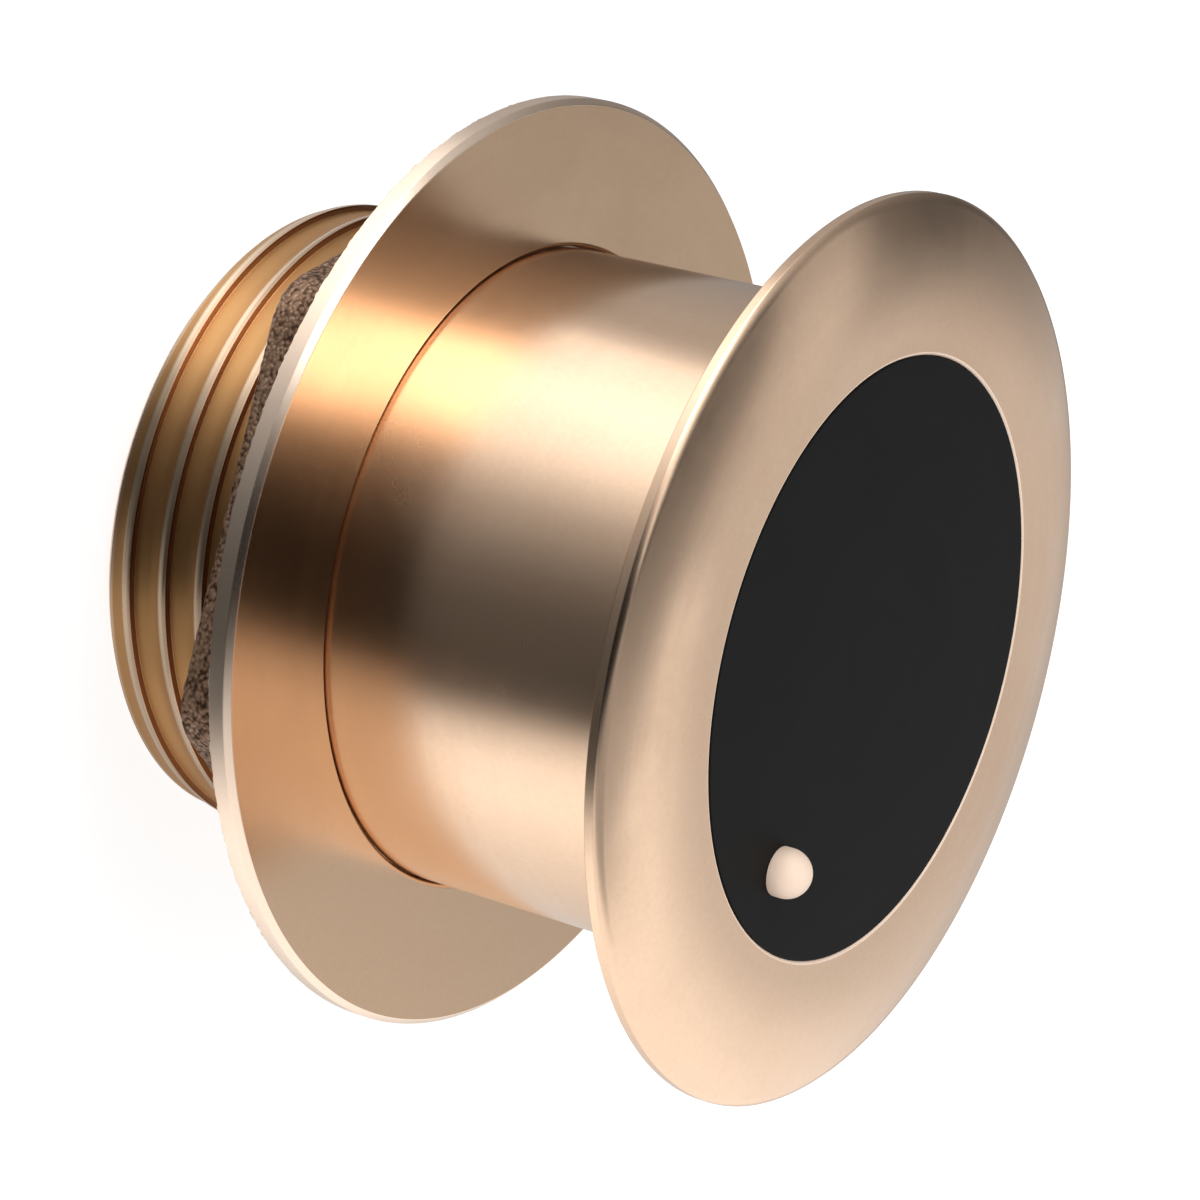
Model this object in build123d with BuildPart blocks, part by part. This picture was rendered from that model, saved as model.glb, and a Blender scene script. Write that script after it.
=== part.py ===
"""Bronze through-hull sonar transducer with its hull nut, in millimetres.

The stem's axis is +Z. The inboard rim stands at Z 0 and the sonar face looks up, towards +Z.
+X points from the axis to the temperature button in the face.
"""

import os
from math import cos, radians, sin, tan

from build123d import *

os.makedirs("parts", exist_ok=True)

# Driving dimensions of the bronze housing
stem_length = 98.0  # inboard rim to sonar face
stem_diameter = 92.8  # smooth stem and thread crests
stem_wall = 6.4  # from the crests to the bore
flange_width = 17.1  # how far the rim stands out from the stem
flange_thickness = 5.0  # bedding face to sonar face
flange_land = 1.4  # straight part of the flange's edge
flange_edge_break = 0.6  # where the land meets the domed front
flange_back_break = 0.25
flange_root_bevel = 1.2  # between stem and bedding face
face_land = 2.4  # flat ring between the window and the domed front
window_seat_width = 2.1  # ledge that carries the window's edge
end_wall_thickness = 6.0
gland_recess_wall = 6.4  # from the crests to the recess for the gland
gland_rim_clearance = 2.5  # how far the gland's nut stays inside the inboard rim
edge_break = 0.3  # small chamfers on turned edges

# Thread of stem and nut
thread_pitch = 6.35
thread_depth = 1.2
thread_crest = 1.1  # flat on the crest
thread_flank_angle = 30.0  # of the side towards the sonar face
thread_lead_angle = 50.0  # of the inboard side, which slopes more
thread_length = 36.0  # inboard rim to the last full crest
thread_relief = 3.5  # plain neck between thread and smooth stem
thread_radial_gap = 0.3
thread_flank_gap = 0.25
thread_overrun = 1.2  # turns that run past an end before it is faced off
thread_root_sink = 0.2  # how far a ridge starts inside its core
end_chamfer = 2.6

# Hull nut: a turned clamping disc on a cast hexagon
nut_setback = 0.6  # last full crest to the floor of the nut's counterbore
nut_disc_width = 21.1  # how far its rim stands out from the stem
nut_disc_thickness = 3.2
nut_disc_chamfer = 0.8
nut_hex_height = 12.7
nut_wall = 5.6  # from the thread's crests to the middle of a flat
nut_hex_corner_round = 8.0
nut_hex_turn = 23.2  # degrees from +X to the first corner
nut_casting_fillet = 1.5
nut_hex_end_round = 1.0
nut_counterbore_gap = 1.0  # ring of clearance round the smooth stem
nut_counterbore_depth = 3.6

# Acoustic window and matching plate
window_thickness = 8.0
window_edge_break = 0.2
bond_gap = 0.1  # cast and bonded pieces against their walls
matching_thickness = 3.0

# Array of ceramic elements
element_thickness = 10.0
outer_element_count = 6
element_web = 2.5  # between two elements' edges
element_rim_wall = 1.95  # from the outer elements' pockets to the frame's edge
element_gap = 0.25
electrode_thickness = 0.2
electrode_arm_width = 3.0
electrode_pad_diameter = 8.0
frame_setback = 1.0  # how far the frame lies below and above the element faces
backing_thickness = 6.0
sleeve_thickness = 2.0
sleeve_gap = 0.15

# Temperature button and thermistor
button_edge_distance = 5.3  # from the array's lining to the button's axis
button_diameter = 6.9
button_collar_height = 1.2
button_stem_diameter = 5.0
button_stem_gap = 0.1
button_stem_length = 13.0
button_bore_diameter = 2.6
button_crown = 2.0  # metal between the bore's end and the top of the dome
thermistor_gap = 0.2
thermistor_length = 4.0

# Transformer
core_width = 9.0
core_height = 10.0
core_lead_gap = 2.3  # between the core and the leads that pass it
winding_thickness = 1.7
winding_gap = 0.25
winding_arc = 150.0
winding_corner = 1.5

# Circuit board
board_margin = 5.0  # board beyond the landings of the side leads
board_thickness = 1.6
spacer_length = 10.0
spacer_diameter = 5.0
spacer_edge_distance = 4.0  # board's edge to a spacer's axis
spacer_count = 3
chip_size = (8.0, 6.0, 1.8)
chip_place = (8.0, 10.0)
capacitor_size = (13.0, 6.0, 5.0)
capacitor_place = (-8.0, 10.0)
capacitor_round = 1.0
pin_diameter = 1.4
pin_length = 5.0
pin_spacing = 4.0
pin_count = 5

# Leads and potting
lead_diameter = 1.4
lead_bend_radius = 4.0
lead_inset = 6.4  # how far the sensor's lead steps in on its way to the board
lead_turn_rise = 6.0  # straight end of a side lead above the board
potting_gap = 0.15

# Cable gland
gland_cable_bore = 8.4
gland_seal_wall = 1.8
gland_seal_length = 7.0
gland_neck_wall = 1.4
gland_neck_length = 6.0
gland_shank_step = 2.0  # shank's radius over the neck's
gland_shank_gap = 0.1
gland_shank_standout = 2.0  # past the end wall, into the potting
gland_flange_rim = 2.5  # from the shank to the middle of a flat
gland_flange_thickness = 4.0
gland_nut_wall = 2.9  # from its bore to the middle of a flat
gland_nut_cap = 1.5
gland_nut_crown = 1.5  # chamfer that turns the corners off its outer end
gland_gap = 0.1
ring_seal_width = 1.5
ring_seal_height = 1.3

# Places worked out from the sizes above
stem_radius = stem_diameter / 2
flange_radius = stem_radius + flange_width
bedding_height = stem_length - flange_thickness
thread_root = stem_radius - thread_depth
bore_radius = stem_radius - stem_wall
window_recess_radius = bore_radius + window_seat_width
window_base = stem_length - window_thickness
gland_nut_base = gland_rim_clearance
gland_neck_base = gland_nut_base + gland_nut_cap
gland_flange_base = gland_neck_base + gland_neck_length
end_wall_base = gland_flange_base + gland_flange_thickness
end_wall_top = end_wall_base + end_wall_thickness
nut_face_height = thread_length + nut_setback + nut_counterbore_depth
nut_disc_radius = stem_radius + nut_disc_width
nut_disc_back = nut_face_height - nut_disc_thickness
nut_end_height = nut_disc_back - nut_hex_height
nut_counterbore_floor = nut_face_height - nut_counterbore_depth

matching_base = window_base - matching_thickness
element_top = matching_base - electrode_thickness
element_base = element_top - element_thickness
back_electrode_base = element_base - electrode_thickness
backing_base = back_electrode_base - backing_thickness
lined_radius = bore_radius - sleeve_thickness - 2 * sleeve_gap
element_diameter = (lined_radius - element_web - element_gap - element_rim_wall) / 1.5
element_circle_radius = element_diameter + element_web
button_circle_radius = lined_radius - button_edge_distance

gland_bore_radius = gland_cable_bore / 2
gland_seal_radius = gland_bore_radius + gland_seal_wall
gland_neck_radius = gland_seal_radius + gland_gap + gland_neck_wall
gland_shank_radius = gland_neck_radius + gland_shank_step

board_height = end_wall_top + spacer_length
board_top = board_height + board_thickness
lead_landing_radius = button_circle_radius - lead_inset
lead_turn_height = board_top + lead_turn_rise
board_radius = lead_landing_radius + board_margin
spacer_circle_radius = board_radius - spacer_edge_distance
gland_nut_height = gland_nut_cap + gland_neck_length - gland_gap


def finish(piece: BuildPart, name: str) -> None:
    """Labels a finished piece and writes its file."""
    piece.part.label = name
    export_step(piece.part, f"parts/{name}.step")


def thread_ridge(core_radius: float, tip_radius: float, flank_gap: float, bottom: float, top: float) -> Part:
    """Sweeps the thread's ridge up its helix.

    The ridge is as wide as the stem's thread at every radius, plus flank_gap on each side.
    A crest passes the +X axis at height 0 and once in every pitch above and below it.

    Args:
        core_radius: radius of the cylinder that carries the ridge.
        tip_radius: radius of the ridge's crest.
        flank_gap: what is added to each flank.
        bottom: the helix runs at least this low.
        top: the helix ends at this height.
    """
    turns_below = int(-bottom / thread_pitch) + 1 if bottom < 0 else 0
    start_height = -turns_below * thread_pitch
    foot_radius = core_radius - thread_root_sink

    def half_width(radius: float, angle: float) -> float:
        slope = tan(radians(angle))
        return thread_crest / 2 + (stem_radius - radius) * slope + flank_gap

    with BuildPart() as ridge:
        with BuildLine() as path:
            Helix(
                pitch=thread_pitch,
                height=top - start_height,
                radius=core_radius,
                center=(0, 0, start_height),
            )
        section_plane = Plane(origin=path.line @ 0, x_dir=(1, 0, 0), z_dir=(0, -1, 0))
        foot = foot_radius - core_radius
        tip = tip_radius - core_radius
        with BuildSketch(section_plane):
            with BuildLine():
                Polyline(
                    (foot, -half_width(foot_radius, thread_lead_angle)),
                    (tip, -half_width(tip_radius, thread_lead_angle)),
                    (tip, half_width(tip_radius, thread_flank_angle)),
                    (foot, half_width(foot_radius, thread_flank_angle)),
                    close=True,
                )
            make_face()
        sweep(path=path.line, is_frenet=True)
    return ridge.part


# The housing is one casting, turned all over: flange, stem, threaded end and end wall
overrun = thread_overrun * thread_pitch
relief_base = thread_length
relief_top = thread_length + thread_relief
dome_start = Vector(window_recess_radius + face_land, stem_length)
land_top = bedding_height + flange_land
dome_end = Vector(flange_radius - flange_edge_break, land_top + flange_edge_break)
dome_run = dome_end.X - dome_start.X
dome_drop = dome_start.Y - dome_end.Y
dome_radius = (dome_run**2 + dome_drop**2) / (2 * dome_drop)

stem_ridge = thread_ridge(thread_root, stem_radius, 0, -overrun, relief_base + thread_relief / 2)

with BuildPart() as housing:
    with BuildSketch(Plane.XZ):
        with BuildLine():
            Polyline(
                (0, -overrun),
                (thread_root, -overrun),
                (thread_root, relief_top - thread_depth),
                (stem_radius, relief_top),
                (stem_radius, bedding_height - flange_root_bevel),
                (stem_radius + flange_root_bevel, bedding_height),
                (flange_radius - flange_back_break, bedding_height),
                (flange_radius, bedding_height + flange_back_break),
                (flange_radius, land_top),
                dome_end,
            )
            RadiusArc(dome_end, dome_start, -dome_radius)
            Polyline(dome_start, (0, stem_length), (0, -overrun))
        make_face()
    revolve(axis=Axis.Z)
    add(stem_ridge)
    # Facing the inboard end also gives the thread its lead-in chamfer
    with BuildSketch(Plane.XZ):
        with BuildLine():
            Polyline(
                (0, 0),
                (stem_radius - end_chamfer, 0),
                (stem_radius + end_chamfer, 2 * end_chamfer),
                (stem_radius + 2 * end_chamfer, 2 * end_chamfer),
                (stem_radius + 2 * end_chamfer, -2 * overrun),
                (0, -2 * overrun),
                close=True,
            )
        make_face()
    revolve(axis=Axis.Z, mode=Mode.SUBTRACT)
    # Bore with the window's seat at its mouth
    with BuildSketch(Plane.XZ):
        with BuildLine():
            Polyline(
                (0, end_wall_top),
                (bore_radius, end_wall_top),
                (bore_radius, window_base),
                (window_recess_radius, window_base),
                (window_recess_radius, stem_length - edge_break),
                (window_recess_radius + edge_break, stem_length),
                (0, stem_length),
                close=True,
            )
        make_face()
    revolve(axis=Axis.Z, mode=Mode.SUBTRACT)
    # Recess and tapped hole for the cable gland
    recess_radius = stem_radius - gland_recess_wall
    with BuildSketch(Plane.XZ):
        with BuildLine():
            Polyline(
                (0, 0),
                (recess_radius + edge_break, 0),
                (recess_radius, edge_break),
                (recess_radius, end_wall_base),
                (0, end_wall_base),
                close=True,
            )
        make_face()
    revolve(axis=Axis.Z, mode=Mode.SUBTRACT)
    with BuildSketch(Plane.XY.offset(end_wall_base)):
        Circle(gland_shank_radius + gland_shank_gap)
    extrude(amount=end_wall_thickness, mode=Mode.SUBTRACT)
finish(housing, "housing")


# The hull nut is one casting with a turned disc and a coarse internal thread
nut_bore_radius = thread_root + thread_radial_gap
nut_groove_radius = stem_radius + thread_radial_gap
nut_ridge_top = nut_face_height + overrun
nut_groove = thread_ridge(nut_bore_radius, nut_groove_radius, thread_flank_gap, 0, nut_ridge_top)

with BuildPart() as nut_threaded_void:
    with BuildSketch(Plane.XY):
        Circle(nut_bore_radius)
    extrude(amount=nut_face_height + 2 * overrun)
    add(nut_groove)

with BuildPart() as hull_nut:
    with BuildSketch(Plane.XY.offset(nut_end_height)):
        RegularPolygon(stem_radius + nut_wall, 6, major_radius=False, rotation=nut_hex_turn)
        fillet(vertices(), nut_hex_corner_round)
    extrude(amount=nut_hex_height)
    fillet(faces().sort_by(Axis.Z)[0].edges(), nut_hex_end_round)
    with BuildSketch(Plane.XY.offset(nut_disc_back)):
        Circle(nut_disc_radius)
    extrude(amount=nut_disc_thickness)
    hex_reach = nut_disc_radius - 1
    root_edges = edges().filter_by(
        lambda edge: abs(edge.center().Z - nut_disc_back) < 0.01
        and Vector(edge.center().X, edge.center().Y).length < hex_reach
        and edge.length < 2 * nut_disc_radius
    )
    fillet(root_edges, nut_casting_fillet)
    rim_edges = edges().filter_by(GeomType.CIRCLE).filter_by(
        lambda edge: edge.length > 6 * nut_disc_radius
    )
    chamfer(rim_edges.sort_by(Axis.Z)[-1], nut_disc_chamfer)
    chamfer(rim_edges.sort_by(Axis.Z)[0], edge_break)
    add(nut_threaded_void.part, mode=Mode.SUBTRACT)
    # Counterbore with a broken edge, and the lead-in chamfer at the other end
    counterbore_radius = stem_radius + nut_counterbore_gap
    with BuildSketch(Plane.XZ):
        with BuildLine():
            Polyline(
                (0, nut_counterbore_floor),
                (counterbore_radius, nut_counterbore_floor),
                (counterbore_radius, nut_face_height - edge_break),
                (counterbore_radius + edge_break, nut_face_height),
                (0, nut_face_height),
                close=True,
            )
        make_face()
        with BuildLine():
            Polyline(
                (0, nut_end_height),
                (nut_groove_radius, nut_end_height),
                (nut_bore_radius, nut_end_height + thread_depth),
                (0, nut_end_height + thread_depth),
                close=True,
            )
        make_face()
    revolve(axis=Axis.Z, mode=Mode.SUBTRACT)
finish(hull_nut, "hull_nut")


# Acoustic window, cast into the flange's recess round the temperature button
button_hole_radius = button_stem_diameter / 2 + button_stem_gap

with BuildPart() as acoustic_window:
    with BuildSketch(Plane.XY.offset(window_base)):
        Circle(window_recess_radius - bond_gap)
    extrude(amount=window_thickness)
    chamfer(faces().sort_by(Axis.Z)[-1].edges(), window_edge_break)
    with BuildSketch(Plane.XY.offset(window_base)):
        with Locations((button_circle_radius, 0)):
            Circle(button_hole_radius)
    extrude(amount=window_thickness, mode=Mode.SUBTRACT)
finish(acoustic_window, "acoustic_window")


# Filled plate that matches the ceramic to the window
with BuildPart() as matching_plate:
    with BuildSketch(Plane.XY.offset(matching_base)):
        Circle(bore_radius - bond_gap)
        with Locations((button_circle_radius, 0)):
            Circle(button_hole_radius, mode=Mode.SUBTRACT)
    extrude(amount=matching_thickness)
finish(matching_plate, "matching_plate")


# Domed bronze button, its stem and the blind bore for the thermistor
button_radius = button_diameter / 2
button_top = stem_length + button_collar_height + button_radius
button_stem_base = stem_length - button_stem_length
button_bore_radius = button_bore_diameter / 2
button_bore_top = button_top - button_crown

with BuildPart() as temperature_button:
    with BuildSketch(Plane.XZ):
        with BuildLine():
            Polyline(
                (button_bore_radius, button_stem_base),
                (button_stem_diameter / 2, button_stem_base),
                (button_stem_diameter / 2, stem_length),
                (button_radius, stem_length),
                (button_radius, stem_length + button_collar_height),
            )
            RadiusArc(
                (button_radius, stem_length + button_collar_height),
                (0, button_top),
                -button_radius,
            )
            Polyline(
                (0, button_top),
                (0, button_bore_top),
                (button_bore_radius, button_bore_top - button_bore_radius),
                (button_bore_radius, button_stem_base),
            )
        make_face()
    revolve(axis=Axis.Z)
temperature_button.part.locate(Location((button_circle_radius, 0, 0)))
finish(temperature_button, "temperature_button")


# Thermistor bead near the dome, on its sheathed lead
thermistor_radius = button_bore_radius - thermistor_gap
thermistor_top = button_bore_top - button_bore_radius
thermistor_base = thermistor_top - thermistor_length

with BuildPart() as thermistor:
    with BuildSketch(Plane.XY.offset(thermistor_base)):
        with Locations((button_circle_radius, 0)):
            Circle(thermistor_radius)
    extrude(amount=thermistor_length)
    fillet(faces().sort_by(Axis.Z)[-1].edges(), thermistor_radius * 0.8)
finish(thermistor, "thermistor")


# Seven ceramic elements: one in the middle and a ring that leaves a gap at the button
ring_turn = 180 / outer_element_count
element_places = [(0.0, 0.0)]
for index in range(outer_element_count):
    angle = radians(ring_turn + index * 360 / outer_element_count)
    element_places.append((element_circle_radius * cos(angle), element_circle_radius * sin(angle)))

for index, place in enumerate(element_places):
    with BuildPart() as ceramic_element:
        with BuildSketch(Plane.XY.offset(element_base)):
            with Locations(place):
                Circle(element_diameter / 2)
        extrude(amount=element_thickness)
    finish(ceramic_element, f"ceramic_element_{index + 1}")


def electrode(height: float, return_arm: float) -> BuildPart:
    """Cuts a foil star that joins the element faces.

    Args:
        height: underside of the foil.
        return_arm: length of the extra arm towards -X, or 0 for none.
    """
    with BuildPart() as foil:
        with BuildSketch(Plane.XY.offset(height)):
            with Locations(*element_places):
                Circle(electrode_pad_diameter / 2)
            with PolarLocations(0, outer_element_count, ring_turn):
                Rectangle(
                    element_circle_radius,
                    electrode_arm_width,
                    align=(Align.MIN, Align.CENTER),
                )
            if return_arm:
                with PolarLocations(0, 1, 180):
                    Rectangle(return_arm, electrode_arm_width, align=(Align.MIN, Align.CENTER))
        extrude(amount=electrode_thickness)
    return foil


front_electrode = electrode(element_top, button_circle_radius)
finish(front_electrode, "front_electrode")
back_electrode = electrode(back_electrode_base, 0)
finish(back_electrode, "back_electrode")


# Moulded frame that spaces the elements, with passages for the button stem and return lead
lead_hole_radius = lead_diameter / 2 + element_gap
frame_base = element_base + frame_setback
frame_height = element_thickness - 2 * frame_setback

with BuildPart() as element_frame:
    with BuildSketch(Plane.XY.offset(frame_base)):
        Circle(lined_radius)
        with Locations(*element_places):
            Circle(element_diameter / 2 + element_gap, mode=Mode.SUBTRACT)
        with Locations((button_circle_radius, 0)):
            Circle(button_hole_radius, mode=Mode.SUBTRACT)
        with Locations((-button_circle_radius + lead_diameter, 0)):
            Circle(lead_hole_radius, mode=Mode.SUBTRACT)
    extrude(amount=frame_height)
finish(element_frame, "element_frame")


# Cork behind and round the array
return_lead_place = -button_circle_radius + lead_diameter

with BuildPart() as backing_pad:
    with BuildSketch(Plane.XY.offset(backing_base)):
        Circle(lined_radius)
        with Locations((button_circle_radius, 0), (0, 0), (return_lead_place, 0)):
            Circle(lead_hole_radius, mode=Mode.SUBTRACT)
    extrude(amount=backing_thickness)
finish(backing_pad, "backing_pad")

with BuildPart() as isolation_sleeve:
    with BuildSketch(Plane.XY.offset(backing_base)):
        Circle(bore_radius - sleeve_gap)
        Circle(bore_radius - sleeve_gap - sleeve_thickness, mode=Mode.SUBTRACT)
    extrude(amount=matching_base - backing_base)
finish(isolation_sleeve, "isolation_sleeve")


# Ring core and its two windings, halfway between the board's parts and the backing pad
core_outer = lead_landing_radius - lead_diameter / 2 - core_lead_gap
core_inner = core_outer - core_width
core_base_height = (board_top + capacitor_size[2] + backing_base - core_height) / 2
winding_inner = core_inner - winding_gap - winding_thickness
winding_outer = core_outer + winding_gap + winding_thickness
winding_base = core_base_height - winding_gap - winding_thickness
winding_top = core_base_height + core_height + winding_gap + winding_thickness

with BuildPart() as transformer_core:
    with BuildSketch(Plane.XY.offset(core_base_height)):
        Circle(core_outer)
        Circle(core_inner, mode=Mode.SUBTRACT)
    extrude(amount=core_height)
    chamfer(edges(), edge_break)
finish(transformer_core, "transformer_core")


def winding(first_angle: float) -> BuildPart:
    """Wraps one coil round its arc of the core, from first_angle on."""
    coil_middle = (winding_inner + winding_outer) / 2
    coil_centre = (winding_base + winding_top) / 2
    outer_width = winding_outer - winding_inner
    outer_height = winding_top - winding_base
    with BuildPart() as coil:
        with BuildSketch(Plane.XZ.rotated((0, 0, first_angle))):
            with Locations((coil_middle, coil_centre)):
                Rectangle(outer_width, outer_height)
                chamfer(vertices(), winding_corner)
                Rectangle(
                    outer_width - 2 * winding_thickness,
                    outer_height - 2 * winding_thickness,
                    mode=Mode.SUBTRACT,
                )
        revolve(axis=Axis.Z, revolution_arc=winding_arc)
    return coil


first_gap = (180 - winding_arc) / 2
finish(winding(first_gap), "primary_winding")
finish(winding(first_gap + 180), "secondary_winding")


# Circuit board with its parts, on three spacers from the end wall
with BuildPart() as circuit_board:
    with BuildSketch(Plane.XY.offset(board_height)):
        Circle(board_radius)
    extrude(amount=board_thickness)
finish(circuit_board, "circuit_board")

with BuildPart() as board_spacers:
    with BuildSketch(Plane.XY.offset(end_wall_top)):
        with PolarLocations(spacer_circle_radius, spacer_count, 90):
            Circle(spacer_diameter / 2)
    extrude(amount=board_height - end_wall_top)
finish(board_spacers, "board_spacers")

with BuildPart() as identification_chip:
    with BuildSketch(Plane.XY.offset(board_top)):
        with Locations(chip_place):
            Rectangle(chip_size[0], chip_size[1])
    extrude(amount=chip_size[2])
    chamfer(faces().sort_by(Axis.Z)[-1].edges(), edge_break)
finish(identification_chip, "identification_chip")

with BuildPart() as tuning_capacitor:
    with BuildSketch(Plane.XY.offset(board_top)):
        with Locations(capacitor_place):
            Rectangle(capacitor_size[0], capacitor_size[1])
    extrude(amount=capacitor_size[2])
    fillet(edges().filter_by(Axis.Z), capacitor_round)
    fillet(faces().sort_by(Axis.Z)[-1].edges(), capacitor_round)
finish(tuning_capacitor, "tuning_capacitor")

with BuildPart() as terminal_pins:
    with BuildSketch(Plane.XY.offset(board_height)):
        with GridLocations(pin_spacing, 0, pin_count, 1):
            Circle(pin_diameter / 2)
    extrude(amount=-pin_length)
finish(terminal_pins, "terminal_pins")


def lead(start: tuple[float, float], landing: float, radius: float) -> BuildPart:
    """Runs a lead in the XZ plane, down from start and in to the board's top.

    Args:
        start: X and Z of the upper end.
        landing: X where it meets the board.
        radius: half its thickness.
    """
    start_x, start_height = start
    step = abs(start_x - landing)
    with BuildPart() as wire:
        with BuildLine(Plane.XZ) as route:
            if step:
                FilletPolyline(
                    (start_x, start_height),
                    (start_x, lead_turn_height + step),
                    (landing, lead_turn_height),
                    (landing, board_top),
                    radius=lead_bend_radius,
                )
            else:
                Line((start_x, start_height), (start_x, board_top))
        with BuildSketch(Plane(origin=route.line @ 0, z_dir=route.line % 0)):
            Circle(radius)
        sweep(path=route.line)
    return wire


lead_radius = lead_diameter / 2
sensor_start = (button_circle_radius, thermistor_base)
live_start = (0.0, back_electrode_base)
return_start = (return_lead_place, element_top)
finish(lead(sensor_start, lead_landing_radius, lead_radius), "sensor_lead")
finish(lead(live_start, 0.0, lead_radius), "live_lead")
finish(lead(return_start, -lead_landing_radius, lead_radius), "return_lead")


# Cable gland: body through the end wall, ring seal, cable seal and cap nut
gland_seal_base = gland_neck_base
gland_seal_top = gland_seal_base + gland_seal_length
ring_seal_radius = gland_shank_radius + gland_gap + ring_seal_width / 2
ring_seal_middle = end_wall_base - ring_seal_height / 2

with BuildPart() as gland_body:
    with BuildSketch(Plane.XY.offset(gland_flange_base)):
        RegularPolygon(gland_shank_radius + gland_flange_rim, 6, major_radius=False)
    extrude(amount=gland_flange_thickness)
    with BuildSketch(Plane.XY.offset(end_wall_base)):
        Circle(gland_shank_radius)
    extrude(amount=end_wall_thickness + gland_shank_standout)
    with BuildSketch(Plane.XY.offset(gland_neck_base)):
        Circle(gland_neck_radius)
    extrude(amount=gland_neck_length)
    with BuildSketch(Plane.XZ):
        with BuildLine():
            Polyline(
                (0, gland_neck_base),
                (gland_seal_radius + gland_gap, gland_neck_base),
                (gland_seal_radius + gland_gap, gland_seal_top),
                (gland_bore_radius, gland_seal_top + 1),
                (gland_bore_radius, end_wall_top + gland_shank_standout),
                (0, end_wall_top + gland_shank_standout),
                close=True,
            )
        make_face()
        # Groove for the ring seal, in the flange's upper face
        with Locations((ring_seal_radius, ring_seal_middle)):
            Rectangle(ring_seal_width + 2 * gland_gap, ring_seal_height)
    revolve(axis=Axis.Z, mode=Mode.SUBTRACT)
finish(gland_body, "gland_body")

with BuildPart() as gland_ring_seal:
    with BuildSketch(Plane.XZ):
        with Locations((ring_seal_radius, ring_seal_middle)):
            Rectangle(ring_seal_width, ring_seal_height)
    revolve(axis=Axis.Z)
finish(gland_ring_seal, "gland_ring_seal")

with BuildPart() as gland_seal:
    with BuildSketch(Plane.XY.offset(gland_seal_base)):
        Circle(gland_seal_radius)
        Circle(gland_bore_radius, mode=Mode.SUBTRACT)
    extrude(amount=gland_seal_length)
finish(gland_seal, "gland_seal")

gland_nut_reach = gland_neck_radius + gland_gap + gland_nut_wall

with BuildPart() as gland_nut:
    with BuildSketch(Plane.XY.offset(gland_nut_base)):
        RegularPolygon(gland_nut_reach, 6, major_radius=False)
    extrude(amount=gland_nut_height)
    with BuildSketch(Plane.XZ):
        with BuildLine():
            Polyline(
                (0, gland_nut_base),
                (gland_bore_radius + edge_break, gland_nut_base),
                (gland_bore_radius, gland_nut_base + edge_break),
                (gland_bore_radius, gland_neck_base),
                (gland_neck_radius + gland_gap, gland_neck_base),
                (gland_neck_radius + gland_gap, gland_nut_base + gland_nut_height),
                (0, gland_nut_base + gland_nut_height),
                close=True,
            )
        make_face()
        crown_radius = gland_nut_reach / cos(radians(30))
        with BuildLine():
            Polyline(
                (crown_radius - gland_nut_crown, gland_nut_base),
                (crown_radius + gland_nut_crown, gland_nut_base + 2 * gland_nut_crown),
                (crown_radius + gland_nut_crown, gland_nut_base),
                close=True,
            )
        make_face()
    revolve(axis=Axis.Z, mode=Mode.SUBTRACT)
finish(gland_nut, "gland_nut")


# Potting compound, cast round everything between the end wall and the backing pad
with BuildPart() as potting:
    with BuildSketch(Plane.XY.offset(end_wall_top)):
        Circle(bore_radius - potting_gap)
    extrude(amount=backing_base - end_wall_top)
    with BuildSketch(Plane.XZ):
        with Locations(
            ((winding_inner + winding_outer) / 2, (winding_base + winding_top) / 2),
        ):
            Rectangle(
                winding_outer - winding_inner + 2 * potting_gap,
                winding_top - winding_base + 2 * potting_gap,
            )
    revolve(axis=Axis.Z, mode=Mode.SUBTRACT)
    with BuildSketch(Plane.XY.offset(board_height - potting_gap)):
        Circle(board_radius + potting_gap)
    extrude(amount=board_thickness + 2 * potting_gap, mode=Mode.SUBTRACT)
    with BuildSketch(Plane.XY.offset(end_wall_top)):
        with PolarLocations(spacer_circle_radius, spacer_count, 90):
            Circle(spacer_diameter / 2 + potting_gap)
    extrude(amount=board_height - end_wall_top, mode=Mode.SUBTRACT)
    for size, place in ((chip_size, chip_place), (capacitor_size, capacitor_place)):
        with BuildSketch(Plane.XY.offset(board_top)):
            with Locations(place):
                Rectangle(size[0] + 2 * potting_gap, size[1] + 2 * potting_gap)
        extrude(amount=size[2] + potting_gap, mode=Mode.SUBTRACT)
    with BuildSketch(Plane.XY.offset(board_height)):
        with GridLocations(pin_spacing, 0, pin_count, 1):
            Circle(pin_diameter / 2 + potting_gap)
    extrude(amount=-pin_length - potting_gap, mode=Mode.SUBTRACT)
    with BuildSketch(Plane.XY.offset(end_wall_top)):
        Circle(gland_shank_radius + potting_gap)
    extrude(amount=gland_shank_standout + potting_gap, mode=Mode.SUBTRACT)
    channel_radius = lead_radius + potting_gap
    add(lead(sensor_start, lead_landing_radius, channel_radius).part, mode=Mode.SUBTRACT)
    add(lead(live_start, 0.0, channel_radius).part, mode=Mode.SUBTRACT)
    add(lead(return_start, -lead_landing_radius, channel_radius).part, mode=Mode.SUBTRACT)
finish(potting, "potting")
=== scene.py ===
"""Looks of a bronze through-hull sonar transducer and its hull nut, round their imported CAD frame.

Sizes are in millimetres, as in the part's own source, and a piece's mesh is brought to metres
when it is finished. SAME_PLACE is how near two of its points are merged. The stem's axis is +Z,
the sonar face looks up, and +X points at the button.
"""

import logging
from dataclasses import dataclass
from enum import Enum, IntEnum
from math import atan2, ceil, cos, hypot, pi, radians, sin, sqrt, tan

import bmesh
import bpy
from mathutils import Matrix, Vector, noise


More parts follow.
